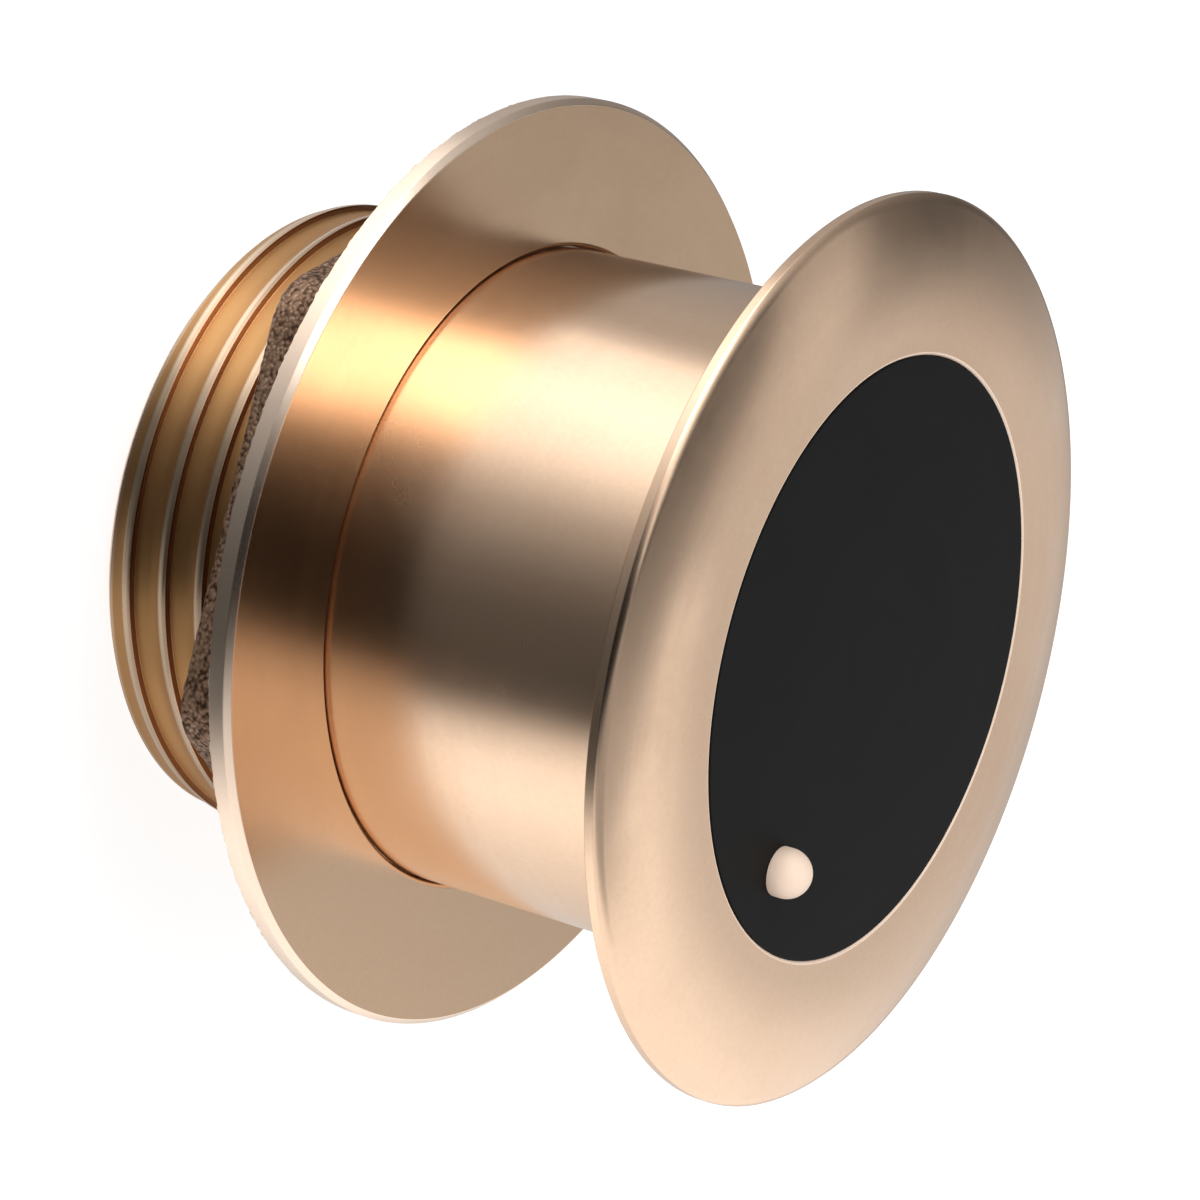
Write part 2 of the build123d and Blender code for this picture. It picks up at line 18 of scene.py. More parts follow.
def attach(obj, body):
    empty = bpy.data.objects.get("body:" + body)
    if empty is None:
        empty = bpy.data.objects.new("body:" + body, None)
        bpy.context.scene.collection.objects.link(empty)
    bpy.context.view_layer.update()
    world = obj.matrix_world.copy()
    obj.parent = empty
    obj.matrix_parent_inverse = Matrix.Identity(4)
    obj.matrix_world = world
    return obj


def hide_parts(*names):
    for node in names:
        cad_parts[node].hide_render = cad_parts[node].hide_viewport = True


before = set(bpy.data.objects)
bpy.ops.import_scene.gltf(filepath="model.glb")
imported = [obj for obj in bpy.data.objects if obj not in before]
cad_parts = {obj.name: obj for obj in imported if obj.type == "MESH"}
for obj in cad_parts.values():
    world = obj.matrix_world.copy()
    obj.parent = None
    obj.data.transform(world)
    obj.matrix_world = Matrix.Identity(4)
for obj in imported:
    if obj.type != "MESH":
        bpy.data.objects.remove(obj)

MM = 0.001
FULL_TURN = 2 * pi
SAME_PLACE = 0.002
LOG = logging.getLogger("transducer")

Colour = tuple[float, float, float]
Source = bpy.types.NodeSocket | float | tuple
Shades = tuple[tuple[float, float], ...]


# Shader trees


class Graph:
    """Adds and links the nodes of one tree."""

    def __init__(self, tree: bpy.types.NodeTree) -> None:
        """Takes the tree to fill."""
        self.tree = tree

    def feed(self, socket: bpy.types.NodeSocket, source: Source) -> None:
        """Links a socket to another, or gives it a value.

        Args:
            socket: the input to feed.
            source: the other socket, a number, a vector or a colour.
        """
        if isinstance(source, bpy.types.NodeSocket):
            self.tree.links.new(source, socket)
        elif isinstance(source, tuple) and socket.type == "RGBA":
            socket.default_value = (*source, 1.0)
        else:
            socket.default_value = source

    def node(self, kind: str, feeds: dict | None = None, **settings) -> bpy.types.Node:
        """Adds a node.

        Args:
            kind: the node's type.
            feeds: what goes into its inputs, by name or number.
            **settings: its other properties.

        Returns:
            The new node.
        """
        made = self.tree.nodes.new(kind)
        for name, value in settings.items():
            setattr(made, name, value)
        for key, source in (feeds or {}).items():
            self.feed(made.inputs[key], source)
        return made

    def math(self, operation: str, first: Source, second: Source = 0.0) -> bpy.types.NodeSocket:
        """Works out one operation on two numbers."""
        return self.node("ShaderNodeMath", {0: first, 1: second}, operation=operation).outputs[0]

    def span(self, value: Source, low: float, high: float) -> bpy.types.NodeSocket:
        """Maps a number smoothly to 0 at low and 1 at high."""
        feeds = {"Value": value, "From Min": low, "From Max": high}
        return self.node("ShaderNodeMapRange", feeds, interpolation_type="SMOOTHSTEP").outputs["Result"]

    def mix(self, factor: Source, first: Source, second: Source) -> bpy.types.NodeSocket:
        """Mixes two colours."""
        made = self.node("ShaderNodeMix", {0: factor, 6: first, 7: second}, data_type="RGBA")
        return made.outputs[2]

    def between(self, factor: Source, low: Source, high: Source) -> bpy.types.NodeSocket:
        """Mixes two numbers."""
        return self.node("ShaderNodeMix", {0: factor, 2: low, 3: high}).outputs[0]

    def noise(self, place: Source, scale: float, detail: float = 2.0) -> bpy.types.NodeSocket:
        """Reads a noise of that many cells a metre."""
        feeds = {"Vector": place, "Scale": scale, "Detail": detail}
        return self.node("ShaderNodeTexNoise", feeds).outputs[0]

    def split(self, vector: Source) -> list[bpy.types.NodeSocket]:
        """Splits a vector in its three numbers."""
        return list(self.node("ShaderNodeSeparateXYZ", {0: vector}).outputs)

    def join(self, x: Source, y: Source, z: Source) -> bpy.types.NodeSocket:
        """Makes a vector of three numbers."""
        return self.node("ShaderNodeCombineXYZ", {0: x, 1: y, 2: z}).outputs[0]

    def place(self) -> bpy.types.NodeSocket:
        """Reads the point on the piece, in metres."""
        return self.node("ShaderNodeTexCoord").outputs["Object"]

    def tilt(self) -> bpy.types.NodeSocket:
        """Reads how far the surface faces along the stem's axis: 1 up, -1 down."""
        return self.split(self.node("ShaderNodeTexCoord").outputs["Normal"])[2]

    def radius(self, x: Source, y: Source) -> bpy.types.NodeSocket:
        """Works out the distance from the stem's axis."""
        square = self.math("ADD", self.math("MULTIPLY", x, x), self.math("MULTIPLY", y, y))
        return self.math("SQRT", square)


class Effect:
    """A surface effect as a shader node group, built once and placed in each finish that has it."""

    name = "effect"
    inputs = {"Vector": "NodeSocketVector"}
    outputs = ("Mask",)

    def draw(self, graph: Graph, feeds: dict) -> dict:
        """Fills the group.

        Args:
            graph: the group's own tree.
            feeds: its inputs, by name.

        Returns:
            Its outputs, by name.
        """
        raise NotImplementedError

    def tree(self) -> bpy.types.NodeTree:
        """Builds the group, or finds it where it has been built.

        Returns:
            The group's tree.
        """
        found = bpy.data.node_groups.get(self.name)
        if found:
            return found
        tree = bpy.data.node_groups.new(self.name, "ShaderNodeTree")
        for name, kind in self.inputs.items():
            tree.interface.new_socket(name=name, in_out="INPUT", socket_type=kind)
        for name in self.outputs:
            tree.interface.new_socket(name=name, in_out="OUTPUT", socket_type="NodeSocketFloat")
        graph = Graph(tree)
        entry = graph.node("NodeGroupInput")
        made = self.draw(graph, {name: entry.outputs[name] for name in self.inputs})
        graph.node("NodeGroupOutput", made)
        return tree

    def put(self, graph: Graph, **values) -> dict:
        """Places the group in a finish.

        Args:
            graph: the finish's tree.
            **values: what goes into the group's inputs, by name.

        Returns:
            The group's outputs, by name.
        """
        made = graph.node("ShaderNodeGroup", node_tree=self.tree())
        for name, source in values.items():
            graph.feed(made.inputs[name], source)
        return {name: made.outputs[name] for name in self.outputs}


class TurningLines(Effect):
    """Rings that the lathe's tool leaves, across its feed and a little uneven round the axis."""

    name = "turning_lines"
    inputs = {"Vector": "NodeSocketVector", "Spacing": "NodeSocketFloat"}
    outputs = ("Height", "Tone")

    def draw(self, graph: Graph, feeds: dict) -> dict:
        """Reads noise along the tool's feed: the height on a cylinder, the radius on a face.

        Args:
            graph: the group's own tree.
            feeds: the point, and how far apart the lines are.

        Returns:
            The height of the lines, and the slower change in their tone.
        """
        x, y, z = graph.split(feeds["Vector"])
        feed = graph.between(graph.math("ABSOLUTE", graph.tilt()), z, graph.radius(x, y))
        rings = graph.math("DIVIDE", feed, feeds["Spacing"])

        def ringed(count: float, around: float, detail: float) -> bpy.types.NodeSocket:
            """Reads one noise of rings.

            Args:
                count: how many it has in one spacing.
                around: how fast it changes round the axis, in cells a metre.
                detail: of the noise.

            Returns:
                The noise.
            """
            across = graph.math("MULTIPLY", rings, count)
            shifts = [graph.math("MULTIPLY", side, around) for side in (x, y)]
            return graph.noise(graph.join(across, *shifts), 1.0, detail)

        return {"Height": ringed(1.0, 55.0, 1.0), "Tone": ringed(0.13, 22.0, 3.0)}


class Mottle(Effect):
    """Soft uneven patches, such as handling and storage leave."""

    name = "mottle"
    inputs = {"Vector": "NodeSocketVector", "Scale": "NodeSocketFloat"}

    def draw(self, graph: Graph, feeds: dict) -> dict:
        """Reads a cloudy noise."""
        made = graph.node("ShaderNodeTexNoise", {**feeds, "Detail": 5.0, "Roughness": 0.6})
        return {"Mask": graph.span(made.outputs[0], 0.32, 0.72)}


class Grain(Effect):
    """Fine uneven grain, such as cast skin, cork or moulded plastic has."""

    name = "grain"
    inputs = {"Vector": "NodeSocketVector", "Scale": "NodeSocketFloat"}
    outputs = ("Height", "Cells")

    def draw(self, graph: Graph, feeds: dict) -> dict:
        """Adds noise to rounded cells.

        Args:
            graph: the group's own tree.
            feeds: the point, and the cells in a metre.

        Returns:
            The height of the grain, and the distance from the middle of its cell.
        """
        cells = graph.node("ShaderNodeTexVoronoi", feeds, feature="SMOOTH_F1").outputs[0]
        fine = graph.node("ShaderNodeTexNoise", {**feeds, "Detail": 4.0}).outputs[0]
        round_cells = graph.math("SUBTRACT", 1.0, cells)
        height = graph.math("ADD", round_cells, graph.math("MULTIPLY", fine, 0.8))
        return {"Height": height, "Cells": cells}


# Finishes


class Surface:
    """The shader of one material, with its bump."""

    def __init__(self, name: str) -> None:
        """Makes the material, with an empty tree but for its shader.

        Args:
            name: the material's name.
        """
        self.material = bpy.data.materials.new(name)
        self.material.use_nodes = True
        self.material.node_tree.nodes.clear()
        self.graph = Graph(self.material.node_tree)
        self.shader = self.graph.node("ShaderNodeBsdfPrincipled")
        feeds = {"Surface": self.shader.outputs[0]}
        self.graph.node("ShaderNodeOutputMaterial", feeds)

    def set(self, **values: Source) -> None:
        """Feeds the shader's sockets.

        Args:
            **values: what goes into each, by its name in lower case, with _ for a space.
        """
        for name, source in values.items():
            socket = next(s for s in self.shader.inputs if s.name.lower().replace(" ", "_") == name)
            self.graph.feed(socket, source)

    def bump(self, height: Source, depth: float) -> None:
        """Raises the surface by a height of 0 to 1, times depth in metres."""
        feeds = {"Height": height, "Distance": depth, "Strength": 1.0}
        self.set(normal=self.graph.node("ShaderNodeBump", feeds).outputs[0])


@dataclass(frozen=True)
class TurnedBronze:
    """Bronze off the lathe: satin, with its light drawn out across the turning lines.

    Attributes:
        name: the material's name.
        colour: of the bare metal, seen straight on.
        tarnish: where it has dulled.
        thread: painted shade in a thread's grooves, a warmer, darker colour for the shade and warm
            reflections there.
        shoulder_highlight: painted highlight on a thread's inboard sides.
        flank: painted shade on its other sides, those that face the sonar face.
        pale: painted highlight, a pale colour without shine on the edge round the window's recess.
        roughness: of the bare metal.
        groove_roughness: of a thread's grooves.
        patch_scale: dull patches in a metre.
        speckle_scale: cells of the fine speckle in a metre.
        line_spacing: of the turning lines, in metres.
        line_depth: of the turning lines, in metres.
        stretch: how far the light is drawn out, from 0 to 1.
        metallic: less than 1 takes the metal's shine away; the button's evenly lit look is painted this
            way.
        thread_base: height in metres from which the grooves lie.
        thread_top: height in metres up to which they lie.
        crest: radius in metres past which a thread's crest is no groove.
        lip: radius in metres of the window's recess, whose edge takes the painted pale highlight.
        face: height in metres of the sonar face.
    """

    name: str
    colour: Colour = (0.92, 0.66, 0.47)
    tarnish: Colour = (0.85, 0.59, 0.41)
    thread: Colour = (0.70, 0.38, 0.155)
    shoulder_highlight: Colour = (1.0, 0.74, 0.50)
    flank: Colour = (0.30, 0.15, 0.07)
    pale: Colour = (0.98, 0.76, 0.60)
    roughness: float = 0.2
    groove_roughness: float = 0.42
    patch_scale: float = 34.0
    speckle_scale: float = 1300.0
    line_spacing: float = 0.42 * MM
    line_depth: float = 0.0016 * MM
    stretch: float = 0.6
    metallic: float = 1.0
    thread_base: float = 2.4 * MM
    thread_top: float = 36.0 * MM
    crest: float = 46.3 * MM
    lip: float = 42.1 * MM
    face: float = 98.0 * MM

    def zones(self, graph: Graph, place: Source) -> dict[str, Source]:
        """Finds where light and shade are painted on the thread and on the recess's edge.

        Args:
            graph: the material's tree.
            place: the point on the piece.

        Returns:
            Masks of the thread's grooves, shoulders and flanks, and of the recess's lip.
        """
        soft = 0.4 * MM
        x, y, z = graph.split(place)
        tilt, radius = graph.tilt(), graph.radius(x, y)
        under_top = graph.span(z, self.thread_top + soft, self.thread_top)
        over_base = graph.span(z, self.thread_base - soft, self.thread_base)
        threaded = graph.math("MULTIPLY", under_top, over_base)
        below_crest = graph.span(radius, self.crest - 0.12 * MM, self.crest - 0.3 * MM)
        on_crest = graph.math("SUBTRACT", 1.0, below_crest)
        inboard = graph.math("MULTIPLY", threaded, graph.span(tilt, -0.06, -0.2))
        at_lip = graph.span(radius, self.lip + 0.5 * MM, self.lip + 0.35 * MM)
        at_face = graph.span(z, self.face - 0.8 * MM, self.face - 0.5 * MM)
        return {
            # Painted shade: the grooves take a warmer, darker colour for the shade and warm reflections in
            # them.
            "groove": graph.math("MULTIPLY", threaded, below_crest),
            # Painted highlight: the inboard shoulders, which face away from the sonar face.
            "shoulder_highlight": graph.math("MULTIPLY", inboard, on_crest),
            # Painted shade: the flanks that face the sonar face.
            "flank": graph.math("MULTIPLY", threaded, graph.span(tilt, 0.25, 0.55)),
            # Painted highlight: a pale ring without shine on the recess's edge.
            "lip": graph.math("MULTIPLY", at_lip, at_face),
        }

    def material(self) -> bpy.types.Material:
        """Builds the material.

        Returns:
            The material.
        """
        surface = Surface(self.name)
        graph, place = surface.graph, surface.graph.place()
        lines = TurningLines().put(graph, Vector=place, Spacing=self.line_spacing)
        patches = Mottle().put(graph, Vector=place, Scale=self.patch_scale)["Mask"]
        zones = self.zones(graph, place)

        speckle = graph.math("SUBTRACT", graph.noise(place, self.speckle_scale, 1.0), 0.5)
        dulled = graph.math("MULTIPLY", graph.math("ADD", patches, lines["Tone"]), 0.42)
        dulled = graph.math("ADD", dulled, graph.math("MULTIPLY", speckle, 0.7))
        colour = graph.mix(dulled, self.colour, self.tarnish)
        # The zone colours below paint light and shade: shade in the grooves and on the flanks, highlights
        # on the shoulders and the lip.
        shades = {"groove": self.thread, "shoulder_highlight": self.shoulder_highlight, "flank": self.flank, "lip": self.pale}
        for zone, shade in shades.items():
            colour = graph.mix(zones[zone], colour, shade)
        surface.set(base_color=colour, metallic=graph.between(zones["lip"], self.metallic, 0.0))

        uneven = graph.math("MULTIPLY", graph.math("SUBTRACT", lines["Tone"], 0.5), 0.06)
        rough = graph.math("ADD", uneven, self.roughness)
        rough = graph.math("ADD", rough, graph.math("MULTIPLY", patches, 0.08))
        surface.set(roughness=graph.between(zones["groove"], rough, self.groove_roughness))

        surface.set(anisotropic=self.stretch, anisotropic_rotation=0.25)
        tangent = graph.node("ShaderNodeTangent", direction_type="RADIAL", axis="Z")
        surface.set(tangent=tangent.outputs[0])
        surface.bump(lines["Height"], self.line_depth)
        return surface.material


@dataclass(frozen=True)
class CastSkin:
    """Bronze as the sand mould left it: brown, pebbled, with bright specks on the high grains.

    Attributes:
        name: the material's name.
        skin: the brown skin.
        pits: between the grains.
        specks: bare metal on the highest grains.
        grain_scale: cells of the finest grain in a metre.
        grain_depth: height of the finest grain, in metres.
        patch_scale: patches with more and with fewer specks in a metre.
    """

    name: str
    skin: Colour = (0.40, 0.25, 0.165)
    pits: Colour = (0.07, 0.036, 0.02)
    specks: Colour = (0.70, 0.52, 0.36)
    grain_scale: float = 1800.0
    grain_depth: float = 0.16 * MM
    patch_scale: float = 110.0

    def material(self) -> bpy.types.Material:
        """Builds the material, on the attribute grain: the height of the mesh's own pebbles.

        Returns:
            The material.
        """
        surface = Surface(self.name)
        graph, place = surface.graph, surface.graph.place()
        pebbles = graph.node("ShaderNodeAttribute", attribute_name="grain").outputs["Fac"]
        fine = Grain().put(graph, Vector=place, Scale=self.grain_scale)
        patches = Mottle().put(graph, Vector=place, Scale=self.patch_scale)["Mask"]

        raised = graph.math("ADD", graph.math("MULTIPLY", pebbles, 0.45), fine["Height"])
        body = graph.mix(graph.span(raised, 0.85, 1.5), self.pits, self.skin)
        bright = graph.span(raised, 1.42, 1.7)
        bright = graph.math("MULTIPLY", bright, graph.between(patches, 0.2, 0.9))
        surface.set(base_color=graph.mix(bright, body, self.specks))
        surface.set(metallic=graph.between(bright, 0.65, 0.95), specular_ior_level=0.1)
        surface.set(roughness=graph.between(bright, 0.5, 0.36))
        surface.bump(fine["Height"], self.grain_depth)
        return surface.material


@dataclass(frozen=True)
class WindowCompound:
    """Black cast compound of the sonar face, faced off flush with the bronze.

    Attributes:
        name: the material's name.
        colour: the compound.
        bloom: where it has faded a little.
        roughness: of its faced surface.
        line_spacing: of the facing tool's lines, in metres.
        patch_scale: faded patches in a metre.
        grain_scale: cells of its grain in a metre.
        grain_depth: height of the grain, in metres.
    """

    name: str
    colour: Colour = (0.004, 0.004, 0.0041)
    bloom: Colour = (0.0048, 0.0048, 0.0048)
    roughness: float = 0.55
    line_spacing: float = 0.6 * MM
    patch_scale: float = 60.0
    grain_scale: float = 3000.0
    grain_depth: float = 0.006 * MM

    def material(self) -> bpy.types.Material:
        """Builds the material.

        Returns:
            The material.
        """
        surface = Surface(self.name)
        graph, place = surface.graph, surface.graph.place()
        lines = TurningLines().put(graph, Vector=place, Spacing=self.line_spacing)
        patches = Mottle().put(graph, Vector=place, Scale=self.patch_scale)["Mask"]
        fine = Grain().put(graph, Vector=place, Scale=self.grain_scale)
        surface.set(base_color=graph.mix(patches, self.colour, self.bloom))
        smoothest, roughest = self.roughness - 0.02, self.roughness + 0.02
        surface.set(roughness=graph.between(lines["Tone"], smoothest, roughest))
        surface.set(specular_ior_level=0.1)
        surface.bump(fine["Height"], self.grain_depth)
        return surface.material


class Pattern(Enum):
    """What a plain finish's two colours and its bump follow."""

    GRAINS = "grains"
    PATCHES = "patches"
    WEAVE = "weave"
    TURNS = "turns"


@dataclass(frozen=True)
class PlainFinish:
    """A finish of two colours in one pattern, for the pieces inside.

    Attributes:
        name: the material's name.
        colour: the first colour.
        second: the second colour.
        pattern: what they follow.
        scale: cells of the pattern in a metre.
        roughness: of the surface.
        metallic: 1 for metal.
        depth: of the bump, in metres.
    """

    name: str
    colour: Colour
    second: Colour
    pattern: Pattern
    scale: float
    roughness: float = 0.5
    metallic: float = 0.0
    depth: float = 0.02 * MM

    def drawing(self, graph: Graph) -> tuple[Source, Source]:
        """Draws the pattern.

        Args:
            graph: the material's tree.

        Returns:
            The mask that mixes the colours, and the bump's height.
        """
        place = graph.place()
        fine = Grain().put(graph, Vector=place, Scale=self.scale)
        if self.pattern is Pattern.GRAINS:
            return graph.span(fine["Cells"], 0.15, 0.6), fine["Height"]
        if self.pattern is Pattern.PATCHES:
            return Mottle().put(graph, Vector=place, Scale=self.scale)["Mask"], fine["Height"]
        x, y, z = graph.split(place)
        if self.pattern is Pattern.WEAVE:
            waves = [graph.math("SINE", graph.math("MULTIPLY", s, self.scale * pi)) for s in (x, y)]
            height = graph.math("MULTIPLY", *waves)
            return graph.span(height, -0.4, 0.4), height
        angle = graph.math("ARCTAN2", y, x)
        turn = graph.math("SINE", graph.math("MULTIPLY", angle, self.scale))
        return graph.span(turn, -0.9, 0.2), turn

    def material(self) -> bpy.types.Material:
        """Builds the material.

        Returns:
            The material.
        """
        surface = Surface(self.name)
        mask, height = self.drawing(surface.graph)
        surface.set(base_color=surface.graph.mix(mask, self.colour, self.second))
        surface.set(roughness=surface.graph.between(mask, self.roughness, self.roughness + 0.08))
        surface.set(metallic=self.metallic)
        surface.bump(height, self.depth)
        return surface.material


# Mesh work


@dataclass(frozen=True)
class Corner:
    """A corner of a half section, in millimetres.

    Attributes:
        radius: distance from the axis.
        height: along the axis.
        ease: how far from the corner its rounding starts, or 0 for a sharp one.
        steps: of the rounding.
    """

    radius: float
    height: float
    ease: float = 0.0
    steps: int = 3

    def point(self) -> Vector:
        """Gives its place in the XZ plane."""
        return Vector((self.radius, 0.0, self.height))


class Section:
    """A half section in the XZ plane, which turning or a helix makes solid."""

    def __init__(self, corners: list[Corner], closed: bool = True) -> None:
        """Draws the section.

        Args:
            corners: in order.
            closed: whether the last one joins the first, or both ends lie on the axis.
        """
        self.mesh = bmesh.new()
        verts = [self.mesh.verts.new(corner.point()) for corner in corners]
        for first, second in zip(verts, verts[1:] + (verts[:1] if closed else [])):
            self.mesh.edges.new((first, second))
        for vert, corner in zip(verts, corners):
            if corner.ease:
                bmesh.ops.bevel(
                    self.mesh, geom=[vert], offset=corner.ease, offset_type="OFFSET",
                    segments=corner.steps, profile=0.5, affect="VERTICES", material=-1,
                )

    def edge(self, start: Corner, end: Corner) -> bmesh.types.BMEdge:
        """Finds the straight run between two corners.

        Args:
            start: the one corner.
            end: the other.

        Returns:
            The edge whose middle lies nearest to the middle between them.
        """
        middle = (start.point() + end.point()) / 2
        return min(
            self.mesh.edges,
            key=lambda edge: ((edge.verts[0].co + edge.verts[1].co) / 2 - middle).length,
        )

    def divide(self, start: Corner, end: Corner, cuts: int, arc_radius: float = 0.0) -> None:
        """Divides the run between two corners.

        Args:
            start: the one corner.
            end: the other.
            cuts: how many points to add.
            arc_radius: if given, the points are moved out to an arc that is level at end.
        """
        made = bmesh.ops.subdivide_edges(self.mesh, edges=[self.edge(start, end)], cuts=cuts)
        if arc_radius:
            centre = end.point() - Vector((0.0, 0.0, arc_radius))
            for vert in (item for item in made["geom_inner"] if isinstance(item, bmesh.types.BMVert)):
                vert.co = centre + (vert.co - centre).normalized() * arc_radius

    def swept(self, pitch: float, eighths: int, steps: int) -> None:
        """Sweeps the section round Z: an eighth of a turn step by step, then copies of that.

        Args:
            pitch: its rise in a turn.
            eighths: how many eighths of a turn.
            steps: in an eighth.
        """
        mesh, eighth = self.mesh, FULL_TURN / 8
        path = {"cent": (0, 0, 0), "axis": (0, 0, 1), "use_merge": False}
        bmesh.ops.spin(
            mesh, geom=mesh.verts[:] + mesh.edges[:], dvec=(0, 0, pitch / 8 / steps), angle=eighth,
            steps=steps, use_duplicate=False, **path,
        )
        bmesh.ops.spin(
            mesh, geom=mesh.verts[:] + mesh.edges[:] + mesh.faces[:], dvec=(0, 0, pitch / 8),
            angle=eighth * (eighths - 1), steps=eighths - 1, use_duplicate=True, **path,
        )
        bmesh.ops.remove_doubles(mesh, verts=mesh.verts, dist=SAME_PLACE)

    def turned(self, steps: int = 45, axis_x: float = 0.0) -> bmesh.types.BMesh:
        """Turns the section round an axis that is parallel to Z.

        Args:
            steps: in an eighth of the turn.
            axis_x: where the axis crosses +X.

        Returns:
            The closed mesh.
        """
        self.swept(0.0, 8, steps)
        bmesh.ops.translate(self.mesh, verts=self.mesh.verts, vec=(axis_x, 0.0, 0.0))
        return sound(self.mesh)

    def screwed(self, pitch: float, turns: float, start: float, steps: int = 30) -> bmesh.types.BMesh:
        """Carries the section up a right-hand helix that begins over +X.

        Args:
            pitch: its rise in a turn.
            turns: how many.
            start: height that it begins at.
            steps: in an eighth of a turn.

        Returns:
            The closed mesh.
        """
        mesh = self.mesh
        bmesh.ops.translate(mesh, verts=mesh.verts, vec=(0.0, 0.0, start))
        self.swept(pitch, ceil(turns * 8), steps)
        bmesh.ops.holes_fill(mesh, edges=[edge for edge in mesh.edges if edge.is_boundary], sides=0)
        return sound(mesh)


def sound(mesh: bmesh.types.BMesh) -> bmesh.types.BMesh:
    """Merges a mesh's doubles and turns its faces outwards.

    Args:
        mesh: a closed mesh.

    Returns:
        The same mesh.
    """
    bmesh.ops.remove_doubles(mesh, verts=mesh.verts, dist=SAME_PLACE)
    bmesh.ops.recalc_face_normals(mesh, faces=mesh.faces)
    return mesh


def loose_object(mesh: bmesh.types.BMesh, name: str) -> bpy.types.Object:
    """Puts a mesh in the scene as an object.

    Args:
        mesh: is freed.
        name: of the object and its mesh.

    Returns:
        The object.
    """
    data = bpy.data.meshes.new(name)
    mesh.to_mesh(data)
    mesh.free()
    made = bpy.data.objects.new(name, data)
    bpy.context.scene.collection.objects.link(made)
    return made


def settle(piece: bpy.types.Object) -> None:
    """Makes an object's modifiers part of its mesh.

    Args:
        piece: the object.
    """
    evaluated = piece.evaluated_get(bpy.context.evaluated_depsgraph_get())
    data = bpy.data.meshes.new_from_object(evaluated)
    data.name = piece.name
    piece.modifiers.clear()
    piece.data = data


def cut(blank: bmesh.types.BMesh, tool: bmesh.types.BMesh) -> bmesh.types.BMesh:
    """Cuts a tool's closed shape out of a blank.

    Args:
        blank: a closed mesh, which is freed.
        tool: another, which is freed too.

    Returns:
        What is left of the blank.
    """
    piece, cutter = loose_object(blank, "blank"), loose_object(tool, "tool")
    modifier = piece.modifiers.new("cut", "BOOLEAN")
    modifier.operation, modifier.solver, modifier.object = "DIFFERENCE", "MANIFOLD", cutter
    settle(piece)
    left = bmesh.new()
    left.from_mesh(piece.data)
    for done in (piece, cutter):
        bpy.data.objects.remove(done)
    return left


@dataclass(frozen=True)
class Piece:
    """What a finished piece is called and stands for.

    Attributes:
        name: the object's name.
        node: the CAD node that it replaces.
        slot: the record's slot for its finish; not used.
        crease: edges sharper than this many degrees stay sharp.
    """

    name: str
    node: str
    slot: str
    crease: float = 34.0

    def deliver(self, mesh: bmesh.types.BMesh, *materials: bpy.types.Material) -> bpy.types.Object:
        """Brings a mesh to metres and puts it on the frame.

        Args:
            mesh: the piece, in millimetres.
            *materials: its materials, in the order of its faces' numbers.

        Returns:
            The finished object.
        """
        bmesh.ops.scale(mesh, vec=(MM,) * 3, verts=mesh.verts)
        for face in mesh.faces:
            face.smooth = True
        for edge in mesh.edges:
            edge.smooth = len(edge.link_faces) == 2 and edge.calc_face_angle(0) < radians(self.crease)
        piece = loose_object(mesh, self.name)
        piece.modifiers.new("even_shading", "WEIGHTED_NORMAL").keep_sharp = True
        settle(piece)
        for material in materials:
            piece.data.materials.append(material)
        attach(piece, "root")
        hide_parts(self.node)
        LOG.info("%s: %d faces", self.name, len(piece.data.polygons))
        return piece


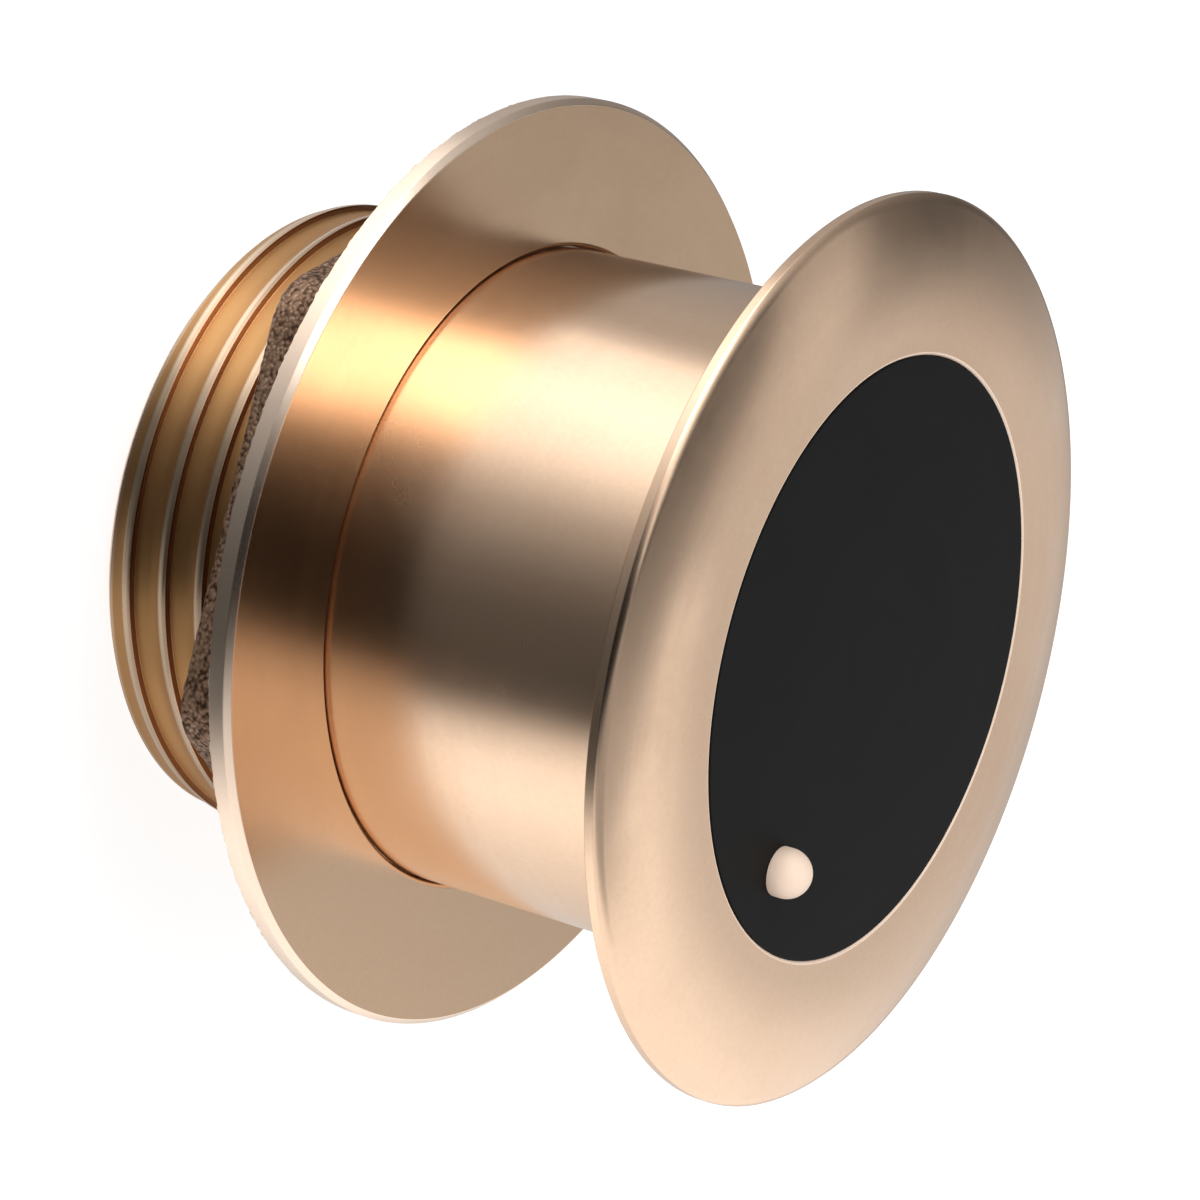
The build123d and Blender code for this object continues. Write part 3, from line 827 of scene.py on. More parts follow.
@dataclass(frozen=True)
class Thread:
    """The coarse thread of stem and nut, in millimetres. A crest crosses +X at height 0.

    Attributes:
        pitch: rise in a turn.
        crest_radius: of the stem's crests.
        depth: from crest to root.
        crest: width of the crest's flat.
        flank: angle of the ridge's side towards the sonar face, in degrees.
        lead: angle of its inboard side, which slopes more.
        radial_gap: between the two threads.
        flank_gap: between their flanks.
    """

    pitch: float = 6.35
    crest_radius: float = 46.4
    depth: float = 0.85
    crest: float = 0.9
    flank: float = 8.0
    lead: float = 66.0
    radial_gap: float = 0.3
    flank_gap: float = 0.25

    def root(self) -> float:
        """Gives the radius at the bottom of the stem's groove."""
        return self.crest_radius - self.depth

    def reach(self, radius: float, angle: float) -> float:
        """Gives how far the stem's ridge reaches to one side of its middle, at a radius."""
        return self.crest / 2 + (self.crest_radius - radius) * tan(radians(angle))

    def groove_tool(self, top: float) -> bmesh.types.BMesh:
        """Makes the shape that cuts the stem's groove, from below the stem's end.

        Args:
            top: height at which the groove ends.

        Returns:
            The closed mesh.
        """
        skin, beside, clear = 0.01, 0.5, 1.4

        def side(angle: float, floor_ease: float, crest_ease: float) -> list[Corner]:
            """Draws half the groove, from its floor out over the crest beside it.

            Args:
                angle: of the ridge's side there, in degrees.
                floor_ease: of the corner at the floor.
                crest_ease: of the corner at the crest.

            Returns:
                Its corners, from the floor outwards.
            """
            floor = self.pitch / 2 - self.reach(self.root(), angle)
            crest = self.pitch / 2 - self.reach(self.crest_radius, angle)
            return [
                Corner(self.root(), floor, floor_ease, 6),
                Corner(self.crest_radius - skin, crest, crest_ease, 5),
                Corner(self.crest_radius + skin, crest + beside),
                Corner(self.crest_radius + clear, crest + beside),
            ]

        upper = side(self.lead, 0.9, 0.6)
        lower = side(self.flank, 0.12, 0.04)[::-1]
        lower = [Corner(corner.radius, -corner.height, corner.ease, corner.steps) for corner in lower]
        start = -1.5 * self.pitch
        return Section(upper + lower).screwed(self.pitch, (top - start) / self.pitch, start)

    def ridge_tool(self, bottom_turns: int, turns: float) -> bmesh.types.BMesh:
        """Makes the shape that cuts the nut's groove round the stem's ridge.

        Args:
            bottom_turns: how many turns above height 0 it begins.
            turns: how many it has.

        Returns:
            The closed mesh.
        """
        foot, tip = self.root() - 0.5, self.crest_radius + self.radial_gap

        def side(angle: float, way: int) -> list[Corner]:
            """Draws one side of the ridge with the gap beside it: above its middle, or below for -1."""
            wide, narrow = (way * (self.reach(at, angle) + self.flank_gap) for at in (foot, tip))
            return [Corner(foot, wide), Corner(tip, narrow, 0.15)]

        corners = side(self.flank, 1) + side(self.lead, -1)[::-1]
        return Section(corners).screwed(self.pitch, turns, bottom_turns * self.pitch)


# The object's pieces


@dataclass
class Housing:
    """The bronze housing: flange, stem, threaded end, bore and the recess for the gland.

    Attributes:
        finish: its bronze.
        thread: the stem's thread.
        stem: radius of the smooth stem.
        length: inboard rim to sonar face.
        bedding: height of the flange's bedding face.
        rim: radius of the flange.
        bore: radius of the bore and of the gland's recess.
        recess: radius of the window's recess.
        window_seat: height of the ledge under the window.
        wall: lowest and highest face of the end wall.
        shank_hole: radius of the hole through the end wall.
        thread_end: height at which the thread's groove ends.
        relief: heights of the relief groove's start, its floor's end and its own end.
    """

    finish: TurnedBronze
    thread: Thread
    stem: float = 46.4
    length: float = 98.0
    bedding: float = 93.0
    rim: float = 63.5
    bore: float = 40.0
    recess: float = 42.1
    window_seat: float = 90.0
    wall: tuple[float, float] = (14.0, 20.0)
    shank_hole: float = 9.6
    thread_end: float = 36.7
    relief: tuple[float, float, float] = (36.9, 38.3, 39.5)

    def section(self) -> Section:
        """Draws the half section, with the stem at its full radius where the thread goes.

        Returns:
            The section.
        """
        edge_break, chamfer, root_bevel = 0.3, 2.6, 1.2
        land, edge, flat = 1.4, 0.6, 2.4
        root = self.thread.root()
        dome_end = Corner(self.rim - edge, self.bedding + land + edge)
        dome_start = Corner(self.recess + flat, self.length)
        low, high = self.wall
        section = Section([
            Corner(self.stem - chamfer, 0.0, 0.12), Corner(self.stem, chamfer, 0.3),
            Corner(self.stem, self.relief[0]), Corner(root, self.relief[0]),
            Corner(root, self.relief[1], 0.3), Corner(self.stem, self.relief[2], 0.12),
            Corner(self.stem, self.bedding - root_bevel, 0.2),
            Corner(self.stem + root_bevel, self.bedding, 0.2),
            Corner(self.rim, self.bedding, 0.25), Corner(self.rim, self.bedding + land, 0.1),
            dome_end, dome_start,
            Corner(self.recess + edge_break, self.length, 0.06),
            Corner(self.recess, self.length - edge_break),
            Corner(self.recess, self.window_seat), Corner(self.bore, self.window_seat, 0.1),
            Corner(self.bore, high, 0.6), Corner(self.shank_hole, high, 0.2),
            Corner(self.shank_hole, low, 0.2), Corner(self.bore, low, 0.8),
            Corner(self.bore, edge_break), Corner(self.bore + edge_break, 0.0),
        ])
        run = dome_end.radius - dome_start.radius
        drop = dome_start.height - dome_end.height
        section.divide(dome_end, dome_start, 23, (run**2 + drop**2) / (2 * drop))
        return section

    def build(self) -> bpy.types.Object:
        """Turns the housing and cuts its thread."""
        mesh = cut(self.section().turned(), self.thread.groove_tool(self.thread_end))
        return Piece("housing_bronze", "housing", "bronze").deliver(mesh, self.finish.material())


class Made(IntEnum):
    """How a face of the hull nut was made, which is the number of its material."""

    MACHINED = 0
    CAST = 1
    EDGE = 2


@dataclass
class HullNut:
    """The hull nut: a turned clamping disc on a hexagon that was left as cast.

    Attributes:
        machined: its turned bronze, darker than the housing's as painted shade.
        edge: the bronze of the disc's rim and its chamfer, a lighter, paler copy that paints light on
            them.
        skin: its cast skin.
        thread: the stem's thread, which its own fits.
        end: height of its inboard end.
        back: height of the disc's back.
        face: height of the disc's clamping face.
        disc: radius of the disc.
        flat: from the axis to the middle of a flat.
        corner_round: radius of the hexagon's corners.
        first_corner: degrees from +X to the first corner.
        toe: rounding of the hexagon's inboard edge.
        fillet: rounding of its root against the disc.
        chamfer: of the disc's clamping face.
        counterbore: radius of the opening round the stem.
        counterbore_floor: height of its floor.
        pebble: height of the casting's pebbles.
        ragged: how far the cast skin wanders over the disc's edge.
    """

    machined: TurnedBronze
    edge: TurnedBronze
    skin: CastSkin
    thread: Thread
    end: float = 24.3
    back: float = 37.0
    face: float = 40.2
    disc: float = 67.499
    flat: float = 52.0
    corner_round: float = 8.0
    first_corner: float = 23.2
    toe: float = 1.0
    fillet: float = 1.5
    chamfer: float = 0.8
    counterbore: float = 46.62
    counterbore_floor: float = 36.6
    pebble: float = 0.17
    ragged: float = 0.26

    def groove(self) -> float:
        """Gives the radius at the bottom of the nut's thread."""
        return self.thread.crest_radius + self.thread.radial_gap

    def outline(self, angle: float) -> float:
        """Gives the hexagon's outline.

        Args:
            angle: from +X, in radians.

        Returns:
            Its radius there.
        """
        from_corner = (angle - radians(self.first_corner) + pi / 6) % (pi / 3) - pi / 6
        centre = (self.flat - self.corner_round) / cos(pi / 6)
        from_flat = pi / 6 - abs(from_corner)
        if self.flat * tan(from_flat) < (self.flat - self.corner_round) * tan(pi / 6):
            return self.flat / cos(from_flat)
        across = centre * sin(from_corner)
        return centre * cos(from_corner) + sqrt(self.corner_round**2 - across**2)

    def section(self) -> Section:
        """Draws the half section, with the hexagon as a circle that touches its flats.

        Returns:
            The section.
        """
        bore, lead_in = self.thread.root() + self.thread.radial_gap, 0.45
        mouth, toe = Corner(self.groove(), self.end), Corner(self.flat, self.end, self.toe, 4)
        inner = Corner(self.flat, self.back, self.fillet, 5)
        rim = Corner(self.disc, self.back, 0.12, 2)
        section = Section([
            mouth, toe, inner, rim,
            Corner(self.disc, self.face - self.chamfer, 0.1, 2),
            Corner(self.disc - self.chamfer, self.face, 0.1, 2),
            Corner(self.counterbore + lead_in, self.face, 0.2),
            Corner(self.counterbore, self.face - lead_in, 0.2),
            Corner(self.counterbore, self.counterbore_floor, 0.3),
            Corner(bore, self.counterbore_floor),
            Corner(bore, self.end + self.thread.depth),
        ])
        section.divide(mouth, toe, 10)
        section.divide(toe, inner, 25)
        section.divide(inner, rim, 22)
        return section

    def hexagon(self, mesh: bmesh.types.BMesh) -> None:
        """Moves the turned blank's lower part out to the hexagon's outline.

        Args:
            mesh: the blank.
        """
        slack, bore, root, rim = 0.01, self.groove(), self.flat + self.fillet, self.disc - 0.2
        for vert in mesh.verts:
            radius, height = hypot(vert.co.x, vert.co.y), vert.co.z
            if radius < bore + slack or height > self.back + slack or radius > rim:
                continue
            share = min(1.0, (radius - bore) / (self.flat - self.toe - bore))
            if radius > root:
                share = (rim - radius) / (rim - root)
            reach = radius + share * (self.outline(atan2(vert.co.y, vert.co.x)) - self.flat)
            vert.co.x *= reach / radius
            vert.co.y *= reach / radius

    def pebbles(self, place: Vector) -> float:
        """Gives the height of the casting's pebbles: rounded cells, grit and slow swells.

        Args:
            place: a point of the casting.

        Returns:
            The height, of about 0 to 1.
        """
        grit, swell = 0.55, 4.0
        cell = 0.62 * (1.0 - noise.voronoi(place)[0][0])
        return cell + 0.3 * noise.noise(place / grit) + 0.2 * noise.noise(place / swell)

    def roughen(self, mesh: bmesh.types.BMesh) -> None:
        """Pebbles the cast faces, and keeps each pebble's height as the attribute grain.

        Args:
            mesh: the nut.
        """
        edge_zone, broad, fine = 1.0, 0.75, 0.35
        grain = mesh.verts.layers.float.new("grain")
        mesh.normal_update()
        moves = []
        for vert in mesh.verts:
            cast = [face.material_index == Made.CAST for face in vert.link_faces]
            if not any(cast):
                continue
            place = vert.co.copy()
            height = self.pebbles(place)
            vert[grain] = min(1.2, max(0.0, height + 0.25))
            if all(cast):
                moves.append((vert, vert.normal * self.pebble * (2.0 * height - 0.7)))
            elif hypot(place.x, place.y) > self.disc - edge_zone:
                wander = noise.noise(place / broad) + 0.8 * noise.noise(place / fine)
                moves.append((vert, Vector((0.0, 0.0, self.ragged * wander))))
        for vert, move in moves:
            vert.co += move

    def build(self) -> bpy.types.Object:
        """Turns the blank, shapes its hexagon, cuts its thread and pebbles what is cast.

        Returns:
            The finished object.
        """
        mesh = self.section().turned(steps=105)
        for face in mesh.faces:
            middle = face.calc_center_median()
            radius = hypot(middle.x, middle.y)
            if radius > self.groove() and middle.z < self.back + 0.02:
                face.material_index = Made.CAST
            elif radius > self.disc - self.chamfer - 0.1:
                face.material_index = Made.EDGE
        self.hexagon(mesh)
        mesh = cut(mesh, self.thread.ridge_tool(3, 3.4))
        self.roughen(mesh)
        piece = Piece("hull_nut_bronze", "hull_nut", "nut_bronze", 50.0)
        return piece.deliver(mesh, self.machined.material(), self.skin.material(), self.edge.material())


@dataclass
class SonarFace:
    """The black window in the flange, and the temperature button in it.

    Attributes:
        compound: the window's finish.
        bronze: the button's bronze, a pale copy without shine that paints the button evenly lit.
        radius: of the window.
        base: height of its underside.
        face: height of the sonar face.
        button_x: from the axis to the button's.
        button: radius of the button.
        button_stem: radius of its stem.
        button_top: height of its dome.
    """

    compound: WindowCompound
    bronze: TurnedBronze
    radius: float = 42.0
    base: float = 90.0
    face: float = 98.0
    button_x: float = 32.4
    button: float = 3.45
    button_stem: float = 2.5
    button_top: float = 102.65

    def window(self) -> bpy.types.Object:
        """Turns the window and drills it for the button.

        Returns:
            The finished object.
        """
        blank = Section([
            Corner(0.0, self.base), Corner(self.radius, self.base, 0.1),
            Corner(self.radius, self.face, 0.2, 2), Corner(0.0, self.face),
        ], closed=False).turned(steps=36)
        drill, hole, run_out = bmesh.new(), self.button_stem + 0.1, 4.0
        middle = Matrix.Translation((self.button_x, 0.0, (self.base + self.face) / 2))
        bmesh.ops.create_cone(
            drill, cap_ends=True, segments=72, radius1=hole, radius2=hole,
            depth=self.face - self.base + run_out, matrix=middle,
        )
        piece = Piece("window_black", "acoustic_window", "window_compound")
        return piece.deliver(cut(blank, drill), self.compound.material())

    def stud(self) -> bpy.types.Object:
        """Turns the button, with its stem and the blind bore for the thermistor.

        Returns:
            The finished object.
        """
        bore, crown, stem_base = 1.3, 2.0, 85.0
        inner_top = self.button_top - crown
        mesh = Section([
            Corner(0.0, inner_top), Corner(bore, inner_top - bore), Corner(bore, stem_base),
            Corner(self.button_stem, stem_base, 0.25, 2), Corner(self.button_stem, self.face),
            Corner(self.button, self.face, 0.12, 2),
            Corner(self.button, self.button_top, self.button - 0.004, 16), Corner(0.0, self.button_top),
        ], closed=False).turned(steps=12, axis_x=self.button_x)
        piece = Piece("button_bronze", "temperature_button", "bronze")
        return piece.deliver(mesh, self.bronze.material())

    def build(self) -> None:
        """Builds both pieces."""
        self.window()
        self.stud()


@dataclass
class Inside:
    """The pieces behind the window and in the inboard end, which keep their CAD shapes."""

    def finishes(self) -> dict[PlainFinish, tuple[str, ...]]:
        """Lists the finishes.

        Returns:
            The CAD nodes that have each finish.
        """
        grains, patches, deep = Pattern.GRAINS, Pattern.PATCHES, 0.12 * MM
        resin = PlainFinish("matching_resin", (0.33, 0.34, 0.33), (0.42, 0.43, 0.42), grains, 2600, 0.6)
        foil = PlainFinish("copper_foil", (0.86, 0.48, 0.32), (0.62, 0.33, 0.22), patches, 260, 0.33, 1.0)
        ceramic = PlainFinish("piezo_ceramic", (0.5, 0.44, 0.31), (0.4, 0.35, 0.25), grains, 5200, 0.48)
        moulding = PlainFinish("frame_moulding", (0.05, 0.05, 0.055), (0.08, 0.08, 0.085), grains, 3400)
        cork = PlainFinish("cork", (0.42, 0.25, 0.12), (0.2, 0.1, 0.05), grains, 900, 0.85, 0.0, deep)
        ferrite = PlainFinish("ferrite", (0.035, 0.034, 0.036), (0.06, 0.058, 0.06), grains, 2800, 0.42)
        wire = PlainFinish(
            "magnet_wire", (0.52, 0.16, 0.045), (0.17, 0.04, 0.012), Pattern.TURNS, 300, 0.3, 0.6, deep
        )
        laminate = PlainFinish(
            "board_laminate", (0.02, 0.11, 0.05), (0.03, 0.14, 0.065), Pattern.WEAVE, 1500, 0.4
        )
        nylon = PlainFinish("spacer_nylon", (0.62, 0.6, 0.54), (0.54, 0.52, 0.46), patches, 320)
        epoxy = PlainFinish("chip_epoxy", (0.02, 0.02, 0.022), (0.035, 0.035, 0.037), grains, 6000, 0.55)
        film = PlainFinish("film_capacitor", (0.55, 0.32, 0.05), (0.48, 0.27, 0.04), patches, 240, 0.35)
        tin = PlainFinish("tinned_pin", (0.72, 0.71, 0.68), (0.58, 0.57, 0.55), patches, 900, 0.28, 1.0)
        red = PlainFinish("lead_red", (0.42, 0.025, 0.02), (0.33, 0.02, 0.015), patches, 500, 0.42)
        black = PlainFinish("lead_black", (0.02,) * 3, (0.032,) * 3, patches, 500, 0.42)
        white = PlainFinish("lead_white", (0.66, 0.65, 0.61), (0.57, 0.56, 0.52), patches, 500, 0.42)
        potting = PlainFinish(
            "potting_compound", (0.028, 0.026, 0.024), (0.045, 0.042, 0.04), grains, 700, 0.38
        )
        bead = PlainFinish("thermistor_bead", (0.06, 0.035, 0.02), (0.09, 0.05, 0.03), patches, 1200, 0.25)
        rubber = PlainFinish("seal_rubber", (0.018,) * 3, (0.032, 0.031, 0.03), grains, 2400, 0.7)
        brass = PlainFinish("gland_brass", (0.83, 0.63, 0.3), (0.66, 0.46, 0.2), patches, 150, 0.3, 1.0)
        return {
            resin: ("matching_plate",), foil: ("front_electrode", "back_electrode"),
            moulding: ("element_frame",), cork: ("isolation_sleeve", "backing_pad"),
            ferrite: ("transformer_core",), wire: ("primary_winding", "secondary_winding"),
            laminate: ("circuit_board",), nylon: ("board_spacers",), epoxy: ("identification_chip",),
            film: ("tuning_capacitor",), tin: ("terminal_pins",), red: ("live_lead",),
            black: ("return_lead",), white: ("sensor_lead",), potting: ("potting",),
            bead: ("thermistor",), rubber: ("gland_ring_seal", "gland_seal"),
            brass: ("gland_body", "gland_nut"),
            ceramic: tuple(f"ceramic_element_{count}" for count in range(1, 8)),
        }

    def dress(self) -> None:
        """Gives each node its finish."""
        for finish, nodes in self.finishes().items():
            material = finish.material()
            for node in nodes:
                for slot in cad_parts[node].material_slots:
                    slot.material = material
                LOG.info("%s: %s", node, finish.name)


# Studio


@dataclass(frozen=True)
class GradedCard:
    """A curved card round the object that only polished surfaces see.

    Attributes:
        name: the object's name.
        near: radius and height of its one edge, in millimetres.
        far: radius and height of its other edge.
        shades: azimuth from +X in degrees and brightness, in order.
        arc: its first and last azimuth.
        fade: brightness above the heights in fading, as a share.
        fading: height at which the fade starts, and at which it is whole.
    """

    name: str
    near: tuple[float, float]
    far: tuple[float, float]
    shades: Shades
    arc: tuple[float, float] = (-180.0, 180.0)
    fade: float = 1.0
    fading: tuple[float, float] = (1740.0, 2030.0)

    def material(self) -> bpy.types.Material:
        """Builds the card's graded light.

        Returns:
            The material.
        """
        material = bpy.data.materials.new(self.name)
        material.use_nodes = True
        material.node_tree.nodes.clear()
        graph = Graph(material.node_tree)
        place = graph.place()
        around = graph.node("ShaderNodeTexGradient", {0: place}, gradient_type="RADIAL").outputs[1]
        ramp = graph.node("ShaderNodeValToRGB", {0: around})
        stops = ramp.color_ramp.elements
        top = max(shade for _, shade in self.shades)
        for index, (azimuth, shade) in enumerate(self.shades):
            at = azimuth / 360.0 + 0.5
            stop = stops[index] if index < 2 else stops.new(at)
            stop.position, stop.color = at, (shade / top,) * 3 + (1.0,)
        high = graph.span(graph.split(place)[2], self.fading[0] * MM, self.fading[1] * MM)
        strength = graph.between(high, top, top * self.fade)
        light = graph.node("ShaderNodeEmission", {0: ramp.outputs[0], 1: strength})
        graph.node("ShaderNodeOutputMaterial", {0: light.outputs[0]})
        return material

    def build(self) -> None:
        """Sweeps the card's edge round its arc."""
        mesh, step = bmesh.new(), radians(3.0)
        ends = [(radius * MM, 0.0, height * MM) for radius, height in (self.near, self.far)]
        mesh.edges.new([mesh.verts.new(end) for end in ends])
        first, last = (radians(angle) for angle in self.arc)
        bmesh.ops.rotate(mesh, verts=mesh.verts, cent=(0, 0, 0), matrix=Matrix.Rotation(first, 3, "Z"))
        turn = last - first
        bmesh.ops.spin(
            mesh, geom=mesh.verts[:] + mesh.edges[:], cent=(0, 0, 0), axis=(0, 0, 1), dvec=(0, 0, 0),
            angle=turn, steps=ceil(turn / step), use_merge=turn > FULL_TURN - 0.01, use_duplicate=False,
        )
        card = loose_object(mesh, self.name)
        card.data.materials.append(self.material())
        card.visible_camera = card.visible_diffuse = card.visible_shadow = False
        card.visible_transmission = card.visible_volume_scatter = False


@dataclass
class Studio:
    """The pale floor, the light and the camera.

    Attributes:
        eye: the camera's place, in millimetres.
        right: direction of the picture's right.
        up: direction of its top.
        forward: direction that the camera looks in.
        lens: its focal length, in millimetres, for a picture 36 wide.
    """

    eye: tuple[float, float, float] = (171.6, -442.1, 333.9)
    right: tuple[float, float, float] = (-0.4153, 0.3672, 0.8323)
    up: tuple[float, float, float] = (-0.8556, -0.4684, -0.2203)
    forward: tuple[float, float, float] = (-0.3089, 0.8036, -0.5087)
    lens: float = 116.99

    def camera(self) -> None:
        """Sets the camera up as the photograph's fit gives it."""
        data = bpy.data.cameras.new("camera")
        data.lens, data.sensor_width, data.clip_start, data.clip_end = self.lens, 36.0, 0.01, 50.0
        camera = bpy.data.objects.new("camera", data)
        bpy.context.scene.collection.objects.link(camera)
        turn = Matrix((self.right, self.up, tuple(-part for part in self.forward))).transposed()
        camera.matrix_world = Matrix.Translation(Vector(self.eye) * MM) @ turn.to_4x4()
        bpy.context.scene.camera = camera

    def floor(self) -> None:
        """Lays a pale round floor that reads as white and keeps the object's soft shadow."""
        mesh = bmesh.new()
        under = Matrix.Translation((0.0, 0.0, -0.02 * MM))
        bmesh.ops.create_circle(mesh, cap_ends=True, segments=96, radius=4.0, matrix=under)
        floor = loose_object(mesh, "floor")
        material = bpy.data.materials.new("floor")
        material.use_nodes = True
        graph = Graph(material.node_tree)
        graph.tree.nodes.clear()
        paint = graph.node("ShaderNodeBsdfDiffuse", {0: (0.5, 0.5, 0.5)})
        glow = self.seen(graph, 0.0, 0.74)
        light = graph.node("ShaderNodeEmission", {0: (1.0, 1.0, 1.0), 1: glow})
        both = graph.node("ShaderNodeAddShader", {0: paint.outputs[0], 1: light.outputs[0]})
        graph.node("ShaderNodeOutputMaterial", {0: both.outputs[0]})
        floor.data.materials.append(material)

    def seen(self, graph: Graph, other: float, seen: float) -> bpy.types.NodeSocket:
        """Tells apart the rays that see the background, straight or mirrored.

        Args:
            graph: the tree that needs it.
            other: the number for the other rays.
            seen: the number for these.

        Returns:
            The number.
        """
        rays = graph.node("ShaderNodeLightPath").outputs
        mirrored = graph.math("MAXIMUM", rays["Is Glossy Ray"], rays["Is Transmission Ray"])
        return graph.between(graph.math("MAXIMUM", rays["Is Camera Ray"], mirrored), other, seen)

    def world(self) -> None:
        """Lights the room evenly, and shows white behind the object."""
        world = bpy.data.worlds.new("room")
        bpy.context.scene.world = world
        world.use_nodes = True
        graph = Graph(world.node_tree)
        graph.tree.nodes.clear()
        strength = self.seen(graph, 0.62, 1.0)
        light = graph.node("ShaderNodeBackground", {0: (1.0, 1.0, 1.0), 1: strength})
        graph.node("ShaderNodeOutputWorld", {0: light.outputs[0]})

    def lamp(self, name: str, place: tuple, side: float, brightness: float) -> None:
        """Hangs a square soft box that looks at the object.

        Args:
            name: the lamp's name.
            place: in metres.
            side: its size, in metres.
            brightness: of its face.
        """
        data = bpy.data.lights.new(name, "AREA")
        data.size, data.energy = side, brightness * pi * side * side
        lamp = bpy.data.objects.new(name, data)
        bpy.context.scene.collection.objects.link(lamp)
        lamp.location = place
        towards = Vector((0.0, 0.0, 0.05)) - Vector(place)
        lamp.rotation_euler = towards.to_track_quat("-Z", "Y").to_euler()
        lamp.visible_camera = lamp.visible_glossy = False

    def cards(self) -> tuple[GradedCard, ...]:
        """Lists the room as the polished bronze mirrors it, from the floor up.

        Returns:
            The cards.
        """
        floor: Shades = (
            (-180.0, 0.4), (-166.0, 0.45), (-156.0, 0.45), (-149.0, 0.65), (-143.0, 1.3),
            (-122.0, 1.7), (-112.0, 1.5), (-104.0, 1.25), (-95.0, 0.8), (-86.0, 0.46), (-76.0, 0.27),
            (-68.0, 0.16), (-58.0, 0.1), (-40.0, 0.07), (-31.0, 0.09), (-26.0, 0.32), (-20.0, 0.8),
            (-10.0, 1.2), (2.0, 1.25), (24.0, 1.0), (44.0, 0.84), (66.0, 0.72), (90.0, 0.68),
            (112.0, 0.48), (133.0, 0.24), (180.0, 0.4),
        )
        near: Shades = (
            (-180.0, 0.3), (-150.0, 0.3), (-140.0, 0.36), (-133.0, 0.4), (-126.0, 0.46),
            (-117.0, 0.62), (-107.0, 1.05), (-98.0, 1.1), (-88.0, 0.5), (-79.0, 0.17), (-69.0, 0.08),
            (-59.0, 0.045), (-50.0, 0.04), (-45.0, 0.07), (-41.0, 0.25), (-36.0, 0.34), (-30.0, 0.34),
            (-25.0, 0.36), (-20.0, 0.52), (-11.0, 0.58), (-1.0, 0.56), (9.0, 0.36), (30.0, 0.4),
            (90.0, 0.5), (133.0, 0.3), (180.0, 0.3),
        )
        root: Shades = (
            (-180.0, 0.4), (-125.0, 0.6), (-115.0, 0.9), (-107.0, 1.3), (-96.0, 1.1), (-87.0, 0.4),
            (-78.0, 0.13), (-68.0, 0.07), (-58.0, 0.1), (-50.0, 0.25), (-44.0, 0.45), (-38.0, 0.5),
            (-28.0, 0.45), (-15.0, 0.4), (0.0, 0.4), (30.0, 0.4), (90.0, 0.5), (180.0, 0.4),
        )
        chamfer: Shades = (
            (-180.0, 0.35), (-118.0, 0.5), (-104.0, 0.4), (-96.0, 0.14), (-80.0, 0.05), (-64.0, 0.08),
            (-55.0, 0.45), (-40.0, 0.5), (-20.0, 0.46), (20.0, 0.4), (180.0, 0.35),
        )
        wall: Shades = (
            (-180.0, 0.38), (-172.0, 0.48), (-160.0, 0.62), (-153.0, 0.9), (-147.0, 2.4),
            (-142.0, 4.3), (-118.0, 4.3), (-110.0, 2.7), (-104.0, 1.3), (-98.0, 0.42), (-88.0, 0.18),
            (-75.0, 0.04), (-58.0, 0.01), (-36.0, 0.01), (-27.0, 0.1), (-20.0, 0.5), (-12.0, 0.8),
            (0.0, 1.05), (22.0, 1.12), (62.0, 1.14), (86.0, 1.14), (95.0, 0.98), (102.0, 0.7),
            (109.5, 0.6), (115.0, 0.66), (121.0, 0.62), (127.0, 0.3), (133.0, 0.1), (140.0, 0.08),
            (156.0, 0.17), (168.0, 0.24), (180.0, 0.38),
        )
        roof: Shades = ((120.0, 0.7), (127.0, 0.75), (142.0, 0.5), (170.0, 0.3))
        upper: Shades = ((84.0, 1.08), (92.0, 1.15), (106.0, 1.12), (114.0, 0.8))
        return (
            GradedCard("floor_card", (100.0, 0.2), (3000.0, 1.0), floor),
            GradedCard("near_card", (53.0, 0.2), (100.0, 0.2), near),
            GradedCard("root_card", (46.6, 0.2), (53.0, 0.2), root),
            GradedCard("chamfer_card", (44.3, 0.2), (46.6, 0.2), chamfer),
            GradedCard("wall_card", (3000.0, 1.0), (40.0, 3500.0), wall, fade=0.34),
            GradedCard("roof_card", (1768.0, 1333.0), (1440.0, 1715.0), roof, (121.0, 168.0)),
            GradedCard("upper_card", (1700.0, 1530.0), (1250.0, 1853.0), upper, (84.0, 114.0)),
        )

    def build(self) -> None:
        """Builds the whole studio."""
        self.camera()
        self.floor()
        self.world()
        self.lamp("key", (-0.45, -0.95, 1.05), 0.7, 5.0)
        self.lamp("low", (0.7, -0.95, 0.2), 0.3, 8.0)
        self.lamp("fill", (0.9, 0.45, 0.9), 0.8, 1.1)
        for card in self.cards():
            card.build()


def main() -> None:
    """Builds the object and its studio, in order."""
    logging.basicConfig(level=logging.INFO, format="%(name)s %(message)s")
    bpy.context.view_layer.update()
    Studio().build()
    bronze = TurnedBronze("bronze")
    # A darker copy of the housing's bronze: painted shade on the nut's turned face.
    nut_bronze = TurnedBronze(
        "nut_bronze", (0.67, 0.47, 0.315), (0.61, 0.42, 0.275),
        roughness=0.18, line_depth=0.004 * MM,
    )
    # A lighter, paler copy of the bronze: painted light on the nut's rim and chamfer.
    rim_bronze = TurnedBronze("rim_bronze", (1.0, 0.80, 0.64), (0.96, 0.75, 0.59), roughness=0.26)
    # A pale copy of the bronze without shine: painted light that makes the button look evenly lit.
    button_bronze = TurnedBronze(
        "button_bronze", (0.98, 0.76, 0.60), (0.96, 0.74, 0.58),
        roughness=0.5, stretch=0.0, metallic=0.0,
    )
    thread = Thread()
    Housing(bronze, thread).build()
    HullNut(nut_bronze, rim_bronze, CastSkin("cast_skin"), thread).build()
    SonarFace(WindowCompound("window_compound"), button_bronze).build()
    Inside().dress()
    bpy.context.scene.view_settings.view_transform = "Standard"


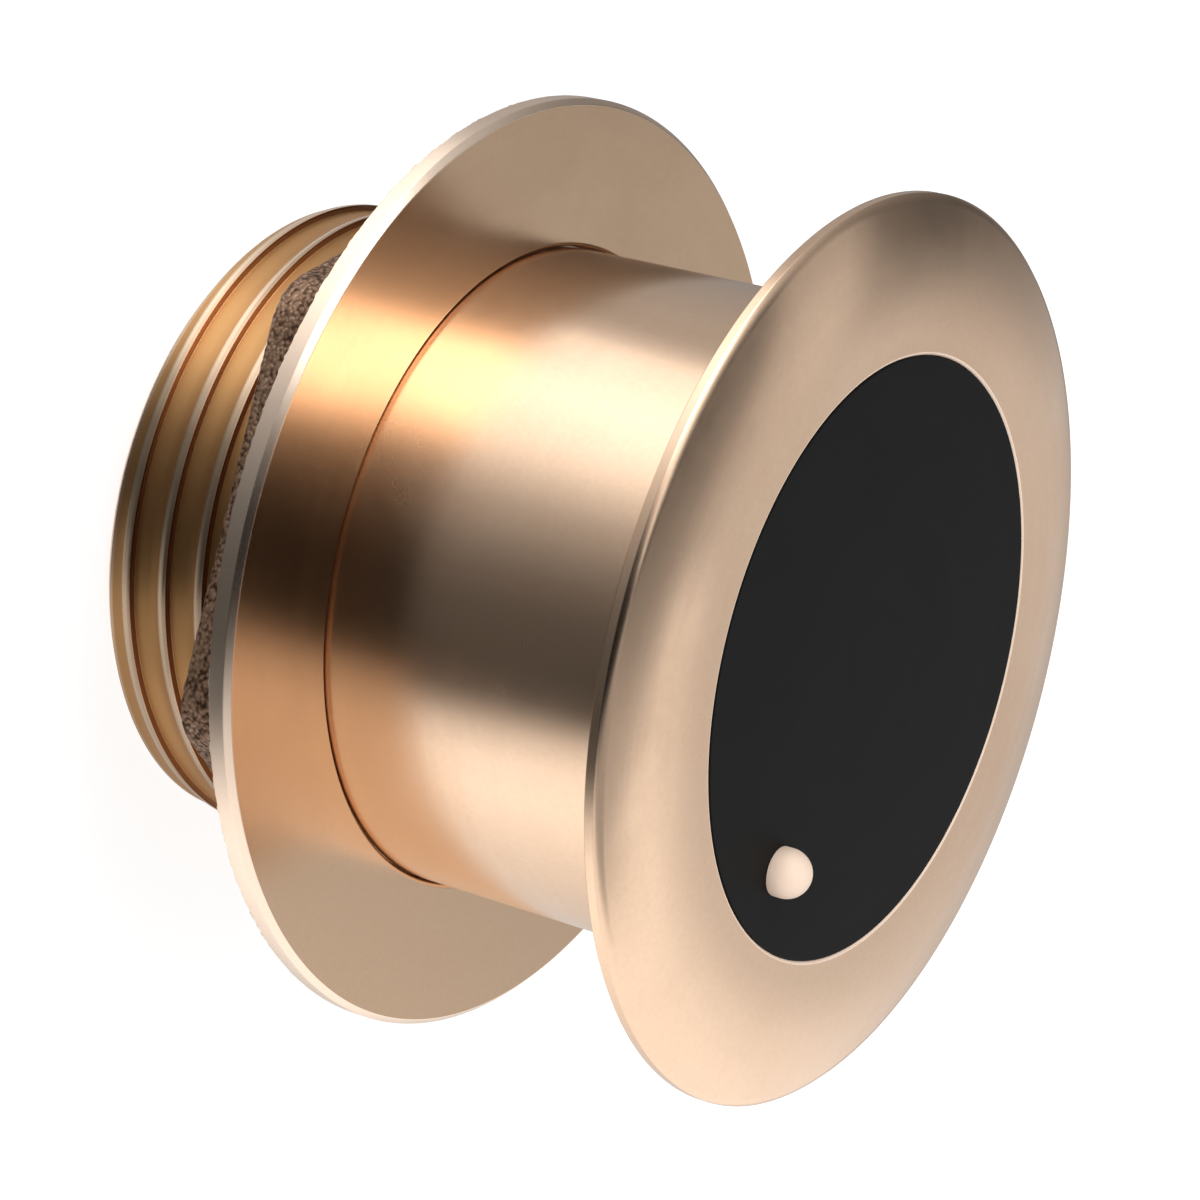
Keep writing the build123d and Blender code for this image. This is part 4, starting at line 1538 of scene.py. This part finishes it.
if __name__ == "__main__":
    main()
